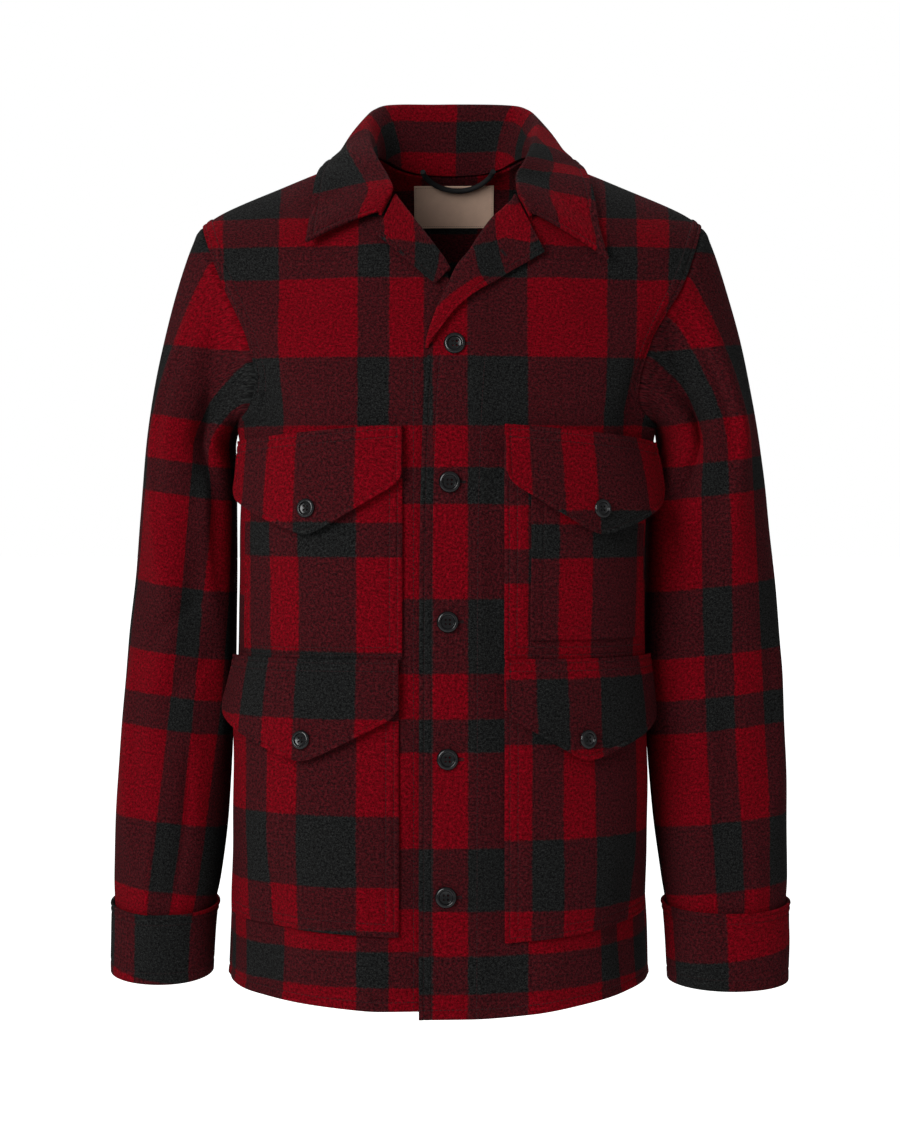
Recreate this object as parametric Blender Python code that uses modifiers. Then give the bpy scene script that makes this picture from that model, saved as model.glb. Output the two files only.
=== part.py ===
"""Wool overshirt in a red and black check, filled out as when worn, hollow, with open neck, hem and cuffs.

Metres, +Z up, the front faces -Y, and the wearer's left is +X.
The origin lies at the base of the neck, level with the high points of the shoulders.
"""

import math

import bmesh
import bpy
import numpy as np
from mathutils import Vector
from mathutils.bvhtree import BVHTree

# Walls and gaps
WALL = 0.0024
FOLDED_WALL = 0.0030
LABEL_WALL = 0.0008
SEAM_GAP = 0.0003
LAYER_GAP = 0.0012
NECK_MIDDLE = 0.0025

# The torso's rings from hem to shoulder ridge: heights at the side, front and back,
# half width, middle, and how far the front and the back stand out from the side seams
RING_COLUMNS = ("side_z", "front_z", "back_z", "half", "middle", "front", "back")
RINGS = (
    (-0.752, -0.762, -0.756, 0.1925, -0.0096, 0.150, 0.126),
    (-0.660, -0.663, -0.662, 0.1885, -0.0096, 0.148, 0.126),
    (-0.560, -0.561, -0.560, 0.1860, -0.0088, 0.143, 0.118),
    (-0.450, -0.450, -0.450, 0.1840, -0.0080, 0.137, 0.108),
    (-0.350, -0.347, -0.348, 0.1830, -0.0070, 0.136, 0.114),
    (-0.298, -0.292, -0.295, 0.1850, -0.0050, 0.134, 0.120),
    (-0.250, -0.240, -0.245, 0.1900, -0.0025, 0.130, 0.124),
    (-0.212, -0.195, -0.200, 0.2120, 0.0000, 0.122, 0.1245),
    (-0.170, -0.148, -0.152, 0.2280, 0.0020, 0.112, 0.121),
    (-0.137, -0.104, -0.105, 0.2380, 0.0030, 0.097, 0.115),
    (-0.110, -0.066, -0.058, 0.2430, 0.0030, 0.078, 0.105),
    (-0.093, -0.036, -0.022, 0.2450, 0.0030, 0.054, 0.089),
    (-0.0825, -0.0125, -0.001, 0.2430, 0.0030, 0.028, 0.056),
    (-0.0787, 0.0, 0.0, 0.2400, 0.0030, 0.0, 0.0),
)
RIDGE = len(RINGS) - 1
ARMPIT = 6
SQUARENESS = 2.5

# How far along from the centre's height to the side's a ring has come, by share of the half width:
# level across the neck, an even slope along the shoulder, steeper at its point
FALL_ACROSS = (0.0, 0.25, 0.38, 0.52, 0.66, 0.80, 0.87, 0.915, 0.95, 1.0)
FALL = (0.0, 0.0, 0.095, 0.258, 0.435, 0.612, 0.712, 0.795, 0.882, 1.0)

# Armhole edges as shares of the half width, by ring
ARMHOLE_RINGS = (6.0, 6.05, 6.15, 6.35, 6.7, 7.1, 7.6, 8.2, 9.0, 10.0, 11.0, 12.0, 13.0)
ARMHOLE_FRONT = (1.0, 0.975, 0.94, 0.895, 0.848, 0.820, 0.815, 0.826, 0.858, 0.888, 0.908, 0.930, 0.943)
ARMHOLE_BACK = (1.0, 0.982, 0.957, 0.925, 0.903, 0.895, 0.893, 0.897, 0.905, 0.915, 0.925, 0.935, 0.943)
ARMHOLE_SHARE = {-1: ARMHOLE_FRONT, 1: ARMHOLE_BACK}

# Front edges: where each front ends at the centre, as places across and heights
UNDER_EDGE = (
    (0.019, -0.762), (0.019, -0.300), (0.019, -0.165), (0.0027, -0.128), (-0.0055, -0.111),
    (-0.018, -0.093), (-0.0335, -0.072), (-0.049, -0.051), (-0.058, -0.036), (-0.066, -0.023),
    (-0.072, -0.008), (-0.0745, 0.0),
)
OVER_EDGE = (
    (-0.026, -0.771), (-0.0255, -0.420), (-0.0240, -0.300), (-0.0190, -0.195), (-0.0160, -0.178),
    (-0.0095, -0.158), (0.0045, -0.129), (0.012, -0.114), (0.0205, -0.104), (0.0295, -0.089),
    (0.0405, -0.072), (0.0515, -0.0615), (0.0590, -0.0535), (0.0645, -0.039), (0.071, -0.024),
    (0.077, -0.008), (0.0795, 0.0),
)
OVERLAP_LIFT = WALL + LAYER_GAP
OVERLAP_FULL = 0.0225
OVERLAP_END = 0.046
OVER_HEM_DROP = 0.007

# Back neck edge: half breadth and ring, from the centre back to the shoulder seam
BACK_NECK_ACROSS = (0.0, 0.030, 0.052, 0.064, 0.071, 0.0745, 0.0775)
BACK_NECK_RING = (11.33, 11.40, 11.65, 12.02, 12.35, 12.75, 13.0)

PANEL_RINGS = (
    0.0, 0.65, 1.3, 1.95, 2.6, 3.25, 3.9, 4.6, 5.3, 6.0, 6.05, 6.2, 6.55, 7.0, 7.3,
    7.8, 8.4, 8.9, 9.4, 9.95, 10.5, 11.2, 12.0, 13.0,
)

# Column places of the fronts from the placket edge, in the straight part below the lapels
UNDER_COLUMNS = (0.0, -0.024)
OVER_COLUMNS = (0.0, 0.0225, 0.0470)
FRONT_STEPS = 12

# Sleeves below the armpit: height, inner side, outer side, middle depth, half depth, forward tilt
SLEEVE_COLUMNS = ("z", "inner", "outer", "middle", "half_depth", "tilt")
SLEEVE_RIGHT = (
    (-0.270, 0.1980, 0.2770, 0.012, 0.070, 0.00),
    (-0.320, 0.1975, 0.2826, 0.018, 0.067, 0.00),
    (-0.380, 0.1975, 0.2888, 0.020, 0.064, 0.02),
    (-0.450, 0.1980, 0.2955, 0.016, 0.060, 0.05),
    (-0.520, 0.2000, 0.3005, 0.006, 0.056, 0.09),
    (-0.600, 0.2035, 0.3045, -0.006, 0.051, 0.13),
    (-0.660, 0.2100, 0.3060, -0.015, 0.047, 0.15),
    (-0.700, 0.2177, 0.3040, -0.020, 0.043, 0.15),
    (-0.760, 0.2210, 0.3040, -0.026, 0.0415, 0.15),
)
SLEEVE_LEFT = (
    (-0.270, 0.1920, 0.2855, 0.012, 0.070, 0.00),
    (-0.320, 0.1845, 0.2930, 0.018, 0.067, 0.00),
    (-0.380, 0.1820, 0.2995, 0.020, 0.063, 0.02),
    (-0.450, 0.1810, 0.3045, 0.016, 0.059, 0.05),
    (-0.520, 0.1825, 0.3080, 0.006, 0.054, 0.09),
    (-0.600, 0.1880, 0.3100, -0.006, 0.049, 0.12),
    (-0.660, 0.1955, 0.3095, -0.015, 0.045, 0.13),
    (-0.700, 0.2015, 0.3068, -0.020, 0.042, 0.13),
    (-0.760, 0.2050, 0.3062, -0.026, 0.040, 0.13),
)
SLEEVE_TOP = -0.270
SLEEVE_END = -0.694
SLEEVE_CAP_ROWS = 7
SLEEVE_RING_ROWS = 10
SLEEVE_START = 0.0007
SLEEVE_START_UNDERARM = 0.0006
CAP_START = 0.060
CAP_START_UNDERARM = 0.018
CAP_END = 1.05
BODY_CLEARANCE = 0.0036

CUFF_TOP = -0.684
CUFF_BOTTOM = {-1: -0.7465, 1: -0.7540}
CUFF_PROUD = WALL / 2 + FOLDED_WALL / 2 + 0.0008

# Lapels, bottom to top: ring of the roll, then the turned edge's place across and height
LAPEL_COLUMNS = ("ring", "edge_x", "edge_z")
UNDER_LAPEL = (
    (8.68, -0.0120, -0.1285), (8.90, -0.0180, -0.1240), (9.40, -0.0320, -0.1120), (9.95, -0.0460, -0.1000),
    (10.50, -0.0640, -0.0850),
)
OVER_LAPEL = (
    (7.30, -0.0135, -0.1765), (7.80, 0.0050, -0.1520), (8.40, 0.0260, -0.1350), (8.90, 0.0400, -0.1265),
    (9.40, 0.0530, -0.1180), (9.95, 0.0670, -0.1100), (10.50, 0.0830, -0.1010),
)
LAPEL_ROLL = 0.0026
LAPEL_START_GAP = 0.0016
LAPEL_LIFT = 0.0015

# Collar, from a front end round to the centre back. Its seam lies along the lapel's top, given by the share
# of the lapel's breadth, then on the front's neck edge, by ring, then on the back's, by half breadth
COLLAR_SEAMS = (
    ("lapel", 0.60), ("lapel", 0.34), ("lapel", 0.04),
    ("front", 10.95), ("front", 11.55), ("front", 12.25), ("front", 12.85),
    ("back", 0.0700), ("back", 0.0630), ("back", 0.0470), ("back", 0.0250), ("back", 0.0),
)
GORGE_RING = 10.64
GORGE_SHARE = {-1: 1.0, 1: 0.72}

# Crest x, y, z, measured from the seam on a lapel, the edge's x, y, z, and how far the leaf runs out
COLLAR_SECTIONS = (
    (0.0012, -0.0030, 0.0030, 0.1289, -0.093, -0.0886, 0.004),
    (0.0004, -0.0036, 0.0040, 0.1272, -0.080, -0.0740, 0.004),
    (-0.0006, -0.0044, 0.0052, 0.1254, -0.061, -0.0580, 0.006),
    (0.0595, -0.0570, -0.0270, 0.1225, -0.040, -0.0400, 0.008),
    (0.0680, -0.0390, -0.0110, 0.1195, -0.020, -0.0245, 0.011),
    (0.0755, -0.0140, 0.0040, 0.1165, 0.000, -0.0110, 0.014),
    (0.0795, 0.0090, 0.0150, 0.1145, 0.026, -0.0070, 0.018),
    (0.0815, 0.0350, 0.0285, 0.1105, 0.052, -0.0090, 0.022),
    (0.0765, 0.0600, 0.0425, 0.1000, 0.078, -0.0140, 0.022),
    (0.0620, 0.0780, 0.0515, 0.0780, 0.098, -0.0180, 0.018),
    (0.0335, 0.0840, 0.0540, 0.0400, 0.109, -0.0200, 0.013),
    (0.0000, 0.0850, 0.0545, 0.0000, 0.112, -0.0205, 0.012),
)
STAND_SHARE = 0.34
COLLAR_SEAM_INSET = 0.0031
LEFT_TIP_DROP = 0.0150
LEFT_TIP_OUT = 0.0090
COLLAR_CLEARANCE = 0.0045

# Pockets: inner edge, breadth round the body, heights at the inner and outer corners
POCKET_LAYER = WALL + LAYER_GAP
PENCIL_LAYER = WALL + 0.0007
FLAP_LAYER = WALL / 2 + FOLDED_WALL / 2 + 0.0007
CHEST_PUFF = 0.0030
HIP_PUFF = 0.0050
CHEST_TOP = (-0.2505, -0.2640)
CHEST_BOTTOM = (-0.4550, -0.4570)
HIP_TOP = (-0.4585, -0.4600)
HIP_BOTTOM = {-1: (-0.6967, -0.6880), 1: (-0.7020, -0.6880)}
CHEST_INNER = {-1: -0.0410, 1: 0.0485}
HIP_INNER = {-1: -0.0440, 1: 0.0485}
CHEST_BREADTH = 0.164
HIP_BREADTH = {-1: 0.182, 1: 0.174}
PENCIL_INNER = 0.0700
PENCIL_BREADTH = 0.122
PENCIL_TOP = -0.2900
PENCIL_BOTTOM = -0.4390

FLAP_SIDE = 0.045
FLAP_POINT = 0.089
FLAP_ROUND = 0.010
FLAP_LIFT = 0.0050
FLAP_LIFT_OVER_PENCIL = 0.0110
FLAP_WIDER = 0.006
CHEST_POINT_SHARE = {-1: 0.475, 1: 0.47}
HIP_POINT_SHARE = {-1: 0.43, 1: 0.385}

# Long soft folds of the sleeves: turn at the top and at the bottom, heights, half breadth and depth
SLEEVE_FOLDS = (
    (1.95, 1.15, -0.105, -0.300, 0.26, -0.0060),
    (2.45, 1.75, -0.130, -0.420, 0.30, 0.0030),
    (1.20, 1.75, -0.360, -0.560, 0.28, -0.0035),
    (4.05, 4.60, -0.130, -0.330, 0.30, -0.0050),
    (4.70, 4.10, -0.360, -0.600, 0.30, -0.0035),
)

# Buttons
FRONT_BUTTONS = ((0.0050, -0.1793), (0.0005, -0.3002), (-0.0012, -0.4222), (-0.0012, -0.5417), (-0.0026, -0.6617))
FRONT_BUTTON_DIAMETER = 0.0190
FLAP_BUTTON_DIAMETER = 0.0170
BUTTON_THICKNESS = 0.0034
FLAP_BUTTON_UP = {"chest": 0.0215, "hip": 0.0165}

# Hanger loop and label, inside the back neck
LOOP_ENDS = (-0.0246, 0.0416)
LOOP_TOP = -0.0045
LOOP_SAG = 0.0175
LOOP_THICK = 0.0040
LABEL_MIDDLE = 0.0047
LABEL_SIZE = (0.0756, 0.0394)
LABEL_TOP = -0.0195
LABEL_OFF = 0.0010
LOOP_OFF = 0.0005

WOOL_RED = (0.30, 0.006, 0.014, 1.0)
WOOL_MAROON = (0.085, 0.012, 0.018, 1.0)
WOOL_CHARCOAL = (0.020, 0.024, 0.024, 1.0)
BUTTON_BLACK = (0.008, 0.008, 0.009, 1.0)
TAPE_BLACK = (0.012, 0.012, 0.013, 1.0)
LINEN = (0.52, 0.38, 0.28, 1.0)


def smooth_read(at, places, values):
    """Values between the places, on a cubic curve with no overshoot in the slopes."""
    places = np.asarray(places, float)
    values = np.asarray(values, float)
    steps = np.diff(places)
    rises = np.diff(values) / steps
    slopes = np.empty(len(values))
    slopes[0], slopes[-1] = rises[0], rises[-1]
    same_way = rises[:-1] * rises[1:] > 0
    slopes[1:-1] = np.where(same_way, 2 * rises[:-1] * rises[1:] / (rises[:-1] + rises[1:] + 1e-30), 0)
    at = np.clip(at, places[0], places[-1])
    i = np.clip(np.searchsorted(places, at, side="right") - 1, 0, len(steps) - 1)
    t = (at - places[i]) / steps[i]
    before = values[i] * (1 + 2 * t) * (1 - t) ** 2 + slopes[i] * steps[i] * t * (1 - t) ** 2
    after = values[i + 1] * t * t * (3 - 2 * t) + slopes[i + 1] * steps[i] * t * t * (t - 1)
    return before + after


def ease(low, high, value):
    """0 at low, 1 at high, with soft ends."""
    t = np.clip((value - low) / (high - low), 0.0, 1.0)
    return t * t * (3 - 2 * t)


def ring_table():
    """The rings with one more past each end, so that the front runs smoothly over the ridge into the back."""
    rows = np.array(RINGS, float)
    below = 2 * rows[0] - rows[1]
    past = rows[-2].copy()
    past[5:] *= -1
    return np.vstack([below, rows, past])


RING_TABLE = ring_table()


def ring(column, level):
    """A ring's measure at a level from 0, the hem, to RIDGE, read on a Catmull-Rom curve."""
    values = RING_TABLE[:, RING_COLUMNS.index(column)]
    level = np.clip(np.asarray(level, float), 0.0, RIDGE)
    i = np.minimum(level.astype(int), RIDGE - 1)
    t = level - i
    a, b, c, d = (values[i + k] for k in range(4))
    return 0.5 * (2 * b + (c - a) * t + (2 * a - 5 * b + 4 * c - d) * t**2 + (3 * b - a - 3 * c + d) * t**3)


def quarter_arc():
    """Shares of the quarter ring's length, against the share of the half width that each reaches."""
    turn = np.linspace(0.0, math.pi / 2, 801)
    across = np.sin(turn) ** (2 / SQUARENESS)
    depth = 0.72 * np.cos(turn) ** (2 / SQUARENESS)
    length = np.concatenate([[0.0], np.cumsum(np.hypot(np.diff(across), np.diff(depth)))])
    return length / length[-1], across


ARC_SHARE, ARC_ACROSS = quarter_arc()


def fall_of(share):
    return smooth_read(share, FALL_ACROSS, FALL)


def across_of(arc):
    return np.sign(arc) * np.interp(np.abs(arc), ARC_SHARE, ARC_ACROSS)


def arc_of(across):
    return np.sign(across) * np.interp(np.abs(across), ARC_ACROSS, ARC_SHARE)


def torso(arc, level, face):
    """A point on the worn form. arc runs from -1 to 1 between the side seams, and face is -1 in front."""
    across = across_of(np.clip(arc, -1.0, 1.0))
    share = np.abs(across)
    x = ring("middle", level) + ring("half", level) * across
    stand = ring("front" if face < 0 else "back", level)
    y = face * stand * np.maximum(1 - share**SQUARENESS, 0.0) ** (1 / SQUARENESS)
    centre_z = ring("front_z" if face < 0 else "back_z", level)
    z = centre_z + (ring("side_z", level) - centre_z) * fall_of(share)
    return np.stack(np.broadcast_arrays(x, y, z), axis=-1)


def torso_out(arc, level, face):
    """The outward direction there."""
    step = 0.002
    round_body = torso(arc + step, level, face) - torso(arc - step, level, face)
    upward = torso(arc, level + 10 * step, face) - torso(arc, level - 10 * step, face)
    out = np.cross(round_body, upward) * -face
    return out / np.maximum(np.linalg.norm(out, axis=-1, keepdims=True), 1e-12)


def off_torso(arc, level, face, distance):
    distance = np.asarray(distance, float)
    return torso(arc, level, face) + torso_out(arc, level, face) * distance[..., None]


def level_at(x, z, face=-1):
    """The level at which the form passes through a place across and a height, found by halving."""
    x, z = np.broadcast_arrays(np.asarray(x, float), np.asarray(z, float))
    low, high = np.zeros(x.shape), np.full(x.shape, float(RIDGE))
    for _ in range(40):
        middle = (low + high) / 2
        across = np.clip((x - ring("middle", middle)) / ring("half", middle), -1, 1)
        above = torso(arc_of(across), middle, face)[..., 2] > z
        high = np.where(above, middle, high)
        low = np.where(above, low, middle)
    return (low + high) / 2


def arc_at(x, level):
    return arc_of(np.clip((x - ring("middle", level)) / ring("half", level), -1, 1))


def quarter_length(level, face=-1):
    """The length round a quarter of the ring, from the centre to the side seam."""
    points = torso(np.linspace(0, 1, 60), np.full(60, float(level)), face)
    return np.linalg.norm(np.diff(points, axis=0), axis=1).sum()


def new_collection():
    collection = bpy.data.collections.new("wool_overshirt")
    bpy.context.scene.collection.children.link(collection)
    return collection


def new_material(name, colour, roughness):
    material = bpy.data.materials.new(name)
    material.use_nodes = True
    shader = material.node_tree.nodes["Principled BSDF"]
    shader.inputs["Base Color"].default_value = colour
    shader.inputs["Roughness"].default_value = roughness
    shader.inputs["Metallic"].default_value = 0.0
    return material


def add_object(name, mesh, material):
    mesh.materials.append(material)
    piece = bpy.data.objects.new(name, mesh)
    COLLECTION.objects.link(piece)
    return piece


def cloth(name, surface, across, along, material, wall=WALL, tube=False):
    """A grid laid on surface(u, v), with u and v from 0 to 1, given its wall by Solidify."""
    cage = bmesh.new()
    bmesh.ops.create_grid(cage, x_segments=across, y_segments=along, size=0.5)
    u = np.array([vertex.co.x for vertex in cage.verts]) + 0.5
    v = np.array([vertex.co.y for vertex in cage.verts]) + 0.5
    for vertex, point in zip(cage.verts, surface(u, v)):
        vertex.co = Vector(point)
    if tube:
        bmesh.ops.remove_doubles(cage, verts=cage.verts, dist=1e-5)
    for face in cage.faces:
        face.smooth = True
    mesh = bpy.data.meshes.new(name)
    cage.to_mesh(mesh)
    cage.free()
    piece = add_object(name, mesh, material)
    solidify = piece.modifiers.new("wall", "SOLIDIFY")
    solidify.thickness = wall
    solidify.offset = 0.0
    return piece


def edge_reader(edge, face=-1):
    """Reads a panel's edge, given as places across and heights, by level."""
    x = np.array([point[0] for point in edge])
    z = np.array([point[1] for point in edge])
    levels = level_at(x, z, face)
    levels[-1] = RIDGE if edge[-1][1] == 0.0 else levels[-1]
    levels = np.maximum.accumulate(levels + np.arange(len(levels)) * 1e-6)
    return lambda level: smooth_read(level, levels, x)


def armhole_arc(level, face):
    """The arc at which a panel ends at its side: at the seam up to the armpit, then at the armhole."""
    share = smooth_read(np.maximum(level, ARMPIT), ARMHOLE_RINGS, ARMHOLE_SHARE[face])
    return arc_of(share) - SEAM_GAP / 0.25


def panel_level(v):
    return np.interp(v, np.linspace(0, 1, len(PANEL_RINGS)), PANEL_RINGS) * (1 - 5e-4)


def over_lift(x):
    """The over front rides on the under front at the placket, and lies back on the form past it."""
    return OVERLAP_LIFT * (1 - ease(OVERLAP_FULL, OVERLAP_END, x))


def front_arc(u, level, side, edge_x, columns):
    """Arcs of a front's columns: at the placket's own lines below, evenly spread above, where the edge rolls."""
    inner, outer = arc_at(edge_x, level), side * armhole_arc(level, -1)
    even = inner + (outer - inner) * u
    first = len(columns) / FRONT_STEPS
    last_line = arc_at(columns[-1], level)
    spread = last_line + (outer - last_line) * (u - first) / (1 - first)
    lines = [inner] + [arc_at(x, level) for x in columns]
    place = np.clip(u * FRONT_STEPS, 0, len(columns))
    i = np.minimum(place.astype(int), len(columns) - 1)
    before = np.choose(i, lines[:-1])
    after = np.choose(i, lines[1:])
    lined = np.where(u <= first, before + (after - before) * (place - i), spread)
    blend = ease(6.6, 7.8, level)
    return lined + (even - lined) * blend


def under_front(u, v):
    level = panel_level(v)
    return torso(front_arc(u, level, -1, UNDER_READER(level), UNDER_COLUMNS), level, -1)


def over_front_at(arc, level):
    points = off_torso(arc, level, -1, over_lift(torso(arc, level, -1)[..., 0]))
    drop = OVER_HEM_DROP * np.clip(1 - level / 1.2, 0, 1) * (1 - across_of(arc) ** 2) ** 2
    points[..., 2] -= drop
    return points


def over_front(u, v):
    level = panel_level(v)
    return over_front_at(front_arc(u, level, 1, OVER_READER(level), OVER_COLUMNS), level)


def back_panel(u, v):
    level = panel_level(v)
    arc = (2 * u - 1) * armhole_arc(level, 1)
    x = np.abs(torso(arc, level, 1)[..., 0] - NECK_MIDDLE)
    top = smooth_read(x, BACK_NECK_ACROSS, BACK_NECK_RING) * (1 - 5e-4)
    start = 9.0
    share = np.clip((level - start) / (RIDGE - start), 0, 1)
    lowered = np.where(level > start, start + (top - start) * share, level)
    return torso(arc, lowered, 1)


def armhole_loop(side):
    """The armhole's edge at each of the panels' rings, from the armpit up the front and down the back, with
    the direction in which the body's cloth would run on past it, and each point's share of the way round."""
    rise = panel_level(np.linspace(0, 1, len(PANEL_RINGS)))[PANEL_RINGS.index(ARMPIT):]
    levels = np.concatenate([rise, rise[::-1][1:]])
    faces = np.where(np.arange(len(levels)) < len(rise), -1, 1)
    edge, out, inward = (np.empty((len(levels), 3)) for _ in range(3))
    for face in (-1, 1):
        chosen = faces == face
        level = levels[chosen]
        arc = side * armhole_arc(level, face)
        edge[chosen] = torso(arc, level, face)
        out[chosen] = torso_out(arc * 0.998, np.minimum(level, RIDGE - 0.02), face)
        inward[chosen] = torso(arc * 0.97, np.maximum(level - 0.15, 0), face)
    edge[[0, -1, len(rise) - 1], 1] = 0.0
    edge[-1] = edge[0]
    lengths = np.linalg.norm(np.diff(edge, axis=0), axis=1)
    share = np.concatenate([[0.0], np.cumsum(lengths)]) / lengths.sum()
    along = np.roll(edge[:-1], -1, axis=0) - np.roll(edge[:-1], 1, axis=0)
    onward = np.cross(np.vstack([along, along[:1]]), out)
    onward /= np.linalg.norm(onward, axis=1, keepdims=True)
    onward *= np.sign((onward * (edge - inward)).sum(axis=1))[:, None]
    onward[-1] = onward[0]
    return edge, onward, share


def sleeve_fold(turn, z):
    """How far the long folds stand out or in at a place on a sleeve."""
    depth = 0.0
    for turn_top, turn_end, top, end, half_breadth, height in SLEEVE_FOLDS:
        down = (z - top) / (end - top)
        middle = turn_top + (turn_end - turn_top) * np.clip(down, 0, 1)
        fade = ease(-0.15, 0.25, down) * (1 - ease(0.70, 1.15, down))
        depth = depth + height * np.exp(-(((turn - middle) / half_breadth) ** 2)) * fade
    return depth


def sleeve_ring(side, turn, z, grow=0.0):
    """A point of a sleeve's ring. turn runs from 0, next to the body, through the front."""
    table = SLEEVE_LEFT if side > 0 else SLEEVE_RIGHT
    rows = np.array(table)[::-1]
    inner, outer, middle, half_depth, tilt = (
        smooth_read(z, rows[:, 0], rows[:, SLEEVE_COLUMNS.index(name)]) for name in SLEEVE_COLUMNS[1:]
    )
    half = (outer - inner) / 2 + grow
    fold = 1 + sleeve_fold(turn, z) / half
    x = (outer + inner) / 2 - half * fold * np.cos(turn)
    forward = (half_depth + grow) * fold * np.sin(turn)
    return np.stack(np.broadcast_arrays(side * x, middle - forward, z - tilt * forward), axis=-1)


def clear_of_body(points, distance):
    """Points moved out where they lie nearer to the worn form than the distance."""
    moved = points.copy()
    for i, point in enumerate(points):
        place, out, _, _ = FORM.find_nearest(Vector(point))
        height = (Vector(point) - place).dot(out)
        if height < distance:
            moved[i] = place + out * distance
    return moved


def sleeve_surface(side):
    edge, onward, share = armhole_loop(side)
    columns = len(share) - 1
    turn = 2 * math.pi * share
    outwardness = (1 - np.cos(turn)) / 2
    start = edge + onward * (SLEEVE_START + SLEEVE_START_UNDERARM * (1 - outwardness))[:, None]
    end = sleeve_ring(side, turn, np.full(len(turn), SLEEVE_TOP))
    below = sleeve_ring(side, turn, np.full(len(turn), SLEEVE_TOP - 0.01))
    heading = (below - end) / 0.01
    leave = onward * (CAP_START_UNDERARM + (CAP_START - CAP_START_UNDERARM) * outwardness)[:, None]
    arrive = heading * (CAP_END * np.linalg.norm(end - start, axis=1))[:, None]
    cap_share = SLEEVE_CAP_ROWS / (SLEEVE_CAP_ROWS + SLEEVE_RING_ROWS)

    def surface(u, v):
        i = np.rint(u * columns).astype(int)
        t = np.clip(v / cap_share, 0, 1)[:, None]
        cap = (
            start[i] * (1 + 2 * t) * (1 - t) ** 2
            + leave[i] * t * (1 - t) ** 2
            + end[i] * t * t * (3 - 2 * t)
            + arrive[i] * t * t * (t - 1)
        )
        middle = end[i] * [1, 0, 0] + [0, 1, 0] * end.mean(axis=0)
        radial = cap - middle
        radial[:, 2] = 0
        radial /= np.maximum(np.linalg.norm(radial, axis=1, keepdims=True), 1e-9)
        cap = cap + radial * (sleeve_fold(turn[i], cap[:, 2]) * np.clip(4 * (1 - t[:, 0]) * t[:, 0], 0, 1))[:, None]
        down = np.clip((v - cap_share) / (1 - cap_share), 0, 1)
        tube = sleeve_ring(side, turn[i], SLEEVE_TOP + (SLEEVE_END - SLEEVE_TOP) * down)
        points = np.where((v <= cap_share + 1e-9)[:, None], cap, tube)
        low = points[:, 2] < RINGS[ARMPIT][0] - 0.004
        points[low] = clear_of_body(points[low], BODY_CLEARANCE)
        return points

    return surface, columns


def cuff_surface(side):
    def surface(u, v):
        z = CUFF_TOP + (CUFF_BOTTOM[side] - CUFF_TOP) * v
        return sleeve_ring(side, 2 * math.pi * u, z, CUFF_PROUD)

    return surface


def lapel_place(table, reader, carrier, ring_at, flat, away, height):
    """A point on a lapel: flat is the share of the way to its turned edge, away a distance from the roll."""
    rows = dict(zip(LAPEL_COLUMNS, np.array(table).T))
    ex, ez = (smooth_read(ring_at, rows["ring"], rows[name]) for name in LAPEL_COLUMNS[1:])
    rx = reader(ring_at)
    rz = torso(arc_at(rx, ring_at), ring_at, -1)[..., 2]
    breadth = np.hypot(ex - rx, ez - rz)
    away = away + flat * breadth
    x = rx + (ex - rx) / breadth * away
    z = rz + (ez - rz) / breadth * away
    level = level_at(x, z)
    return off_torso(arc_at(x, level), level, -1, height + LAPEL_LIFT * flat + carrier(x))


def lapel_surface(table, reader, carrier):
    """A lapel turned round the roll: butted to the panel's edge, round a small bend, then back over it."""
    bend = np.linspace(-math.pi / 2, math.pi / 2, 6)
    flats = np.array((0.0, 0.12, 0.45, 1.0))
    steps = len(bend) + len(flats) - 2
    rows = [ring_at for ring_at in PANEL_RINGS if table[0][0] < ring_at < table[-1][0]]
    rows = [table[0][0]] + rows + [table[-1][0]]

    def surface(u, v):
        i = np.rint(u * steps).astype(int)
        angle = bend[np.minimum(i, len(bend) - 1)]
        flat = flats[np.maximum(i - len(bend) + 1, 0)]
        away = -LAPEL_START_GAP - LAPEL_ROLL * np.cos(angle)
        ring_at = np.interp(v, np.linspace(0, 1, len(rows)), rows)
        return lapel_place(table, reader, carrier, ring_at, flat, away, LAPEL_ROLL * (1 + np.sin(angle)))

    return surface, steps, len(rows) - 1


def no_lift(x):
    return 0.0 * x


def collar_seam(side, kind, at):
    """A point of the collar's neck seam, by its kind of place."""
    if side < 0:
        reader, table, carrier = UNDER_READER, UNDER_LAPEL, no_lift
    else:
        reader, table, carrier = OVER_READER, OVER_LAPEL, over_lift
    if kind == "lapel":
        flat = np.array(at * GORGE_SHARE[side])
        top = lapel_place(table, reader, carrier, np.array(table[-1][0]), flat, 0.0, 2 * LAPEL_ROLL)
        above = torso(arc_at(reader(GORGE_RING), GORGE_RING), GORGE_RING, -1)
        roll = torso(arc_at(reader(table[-1][0]), table[-1][0]), table[-1][0], -1)
        return top + above - roll
    if kind == "front":
        point = torso(arc_at(reader(at), at), at, -1)
    else:
        x = NECK_MIDDLE + side * at
        level = smooth_read(at, BACK_NECK_ACROSS, BACK_NECK_RING)
        point = torso(arc_at(x, level), level, 1)
    to_middle = np.array([NECK_MIDDLE, 0.02, point[2]]) - point
    return point + to_middle / np.linalg.norm(to_middle) * COLLAR_SEAM_INSET


def collar_half(side):
    """Seam and crest points of one half of the collar, from the centre back to the front end."""
    seams, crests = [], []
    for (kind, at), row in zip(COLLAR_SEAMS, COLLAR_SECTIONS):
        seam = collar_seam(side, kind, at)
        base = seam if kind == "lapel" else np.array([NECK_MIDDLE, 0.0, 0.0])
        seams.append(seam)
        crests.append(base + np.array([side * row[0], row[1], row[2]]))
    return np.array(seams[::-1]), np.array(crests[::-1])


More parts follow.
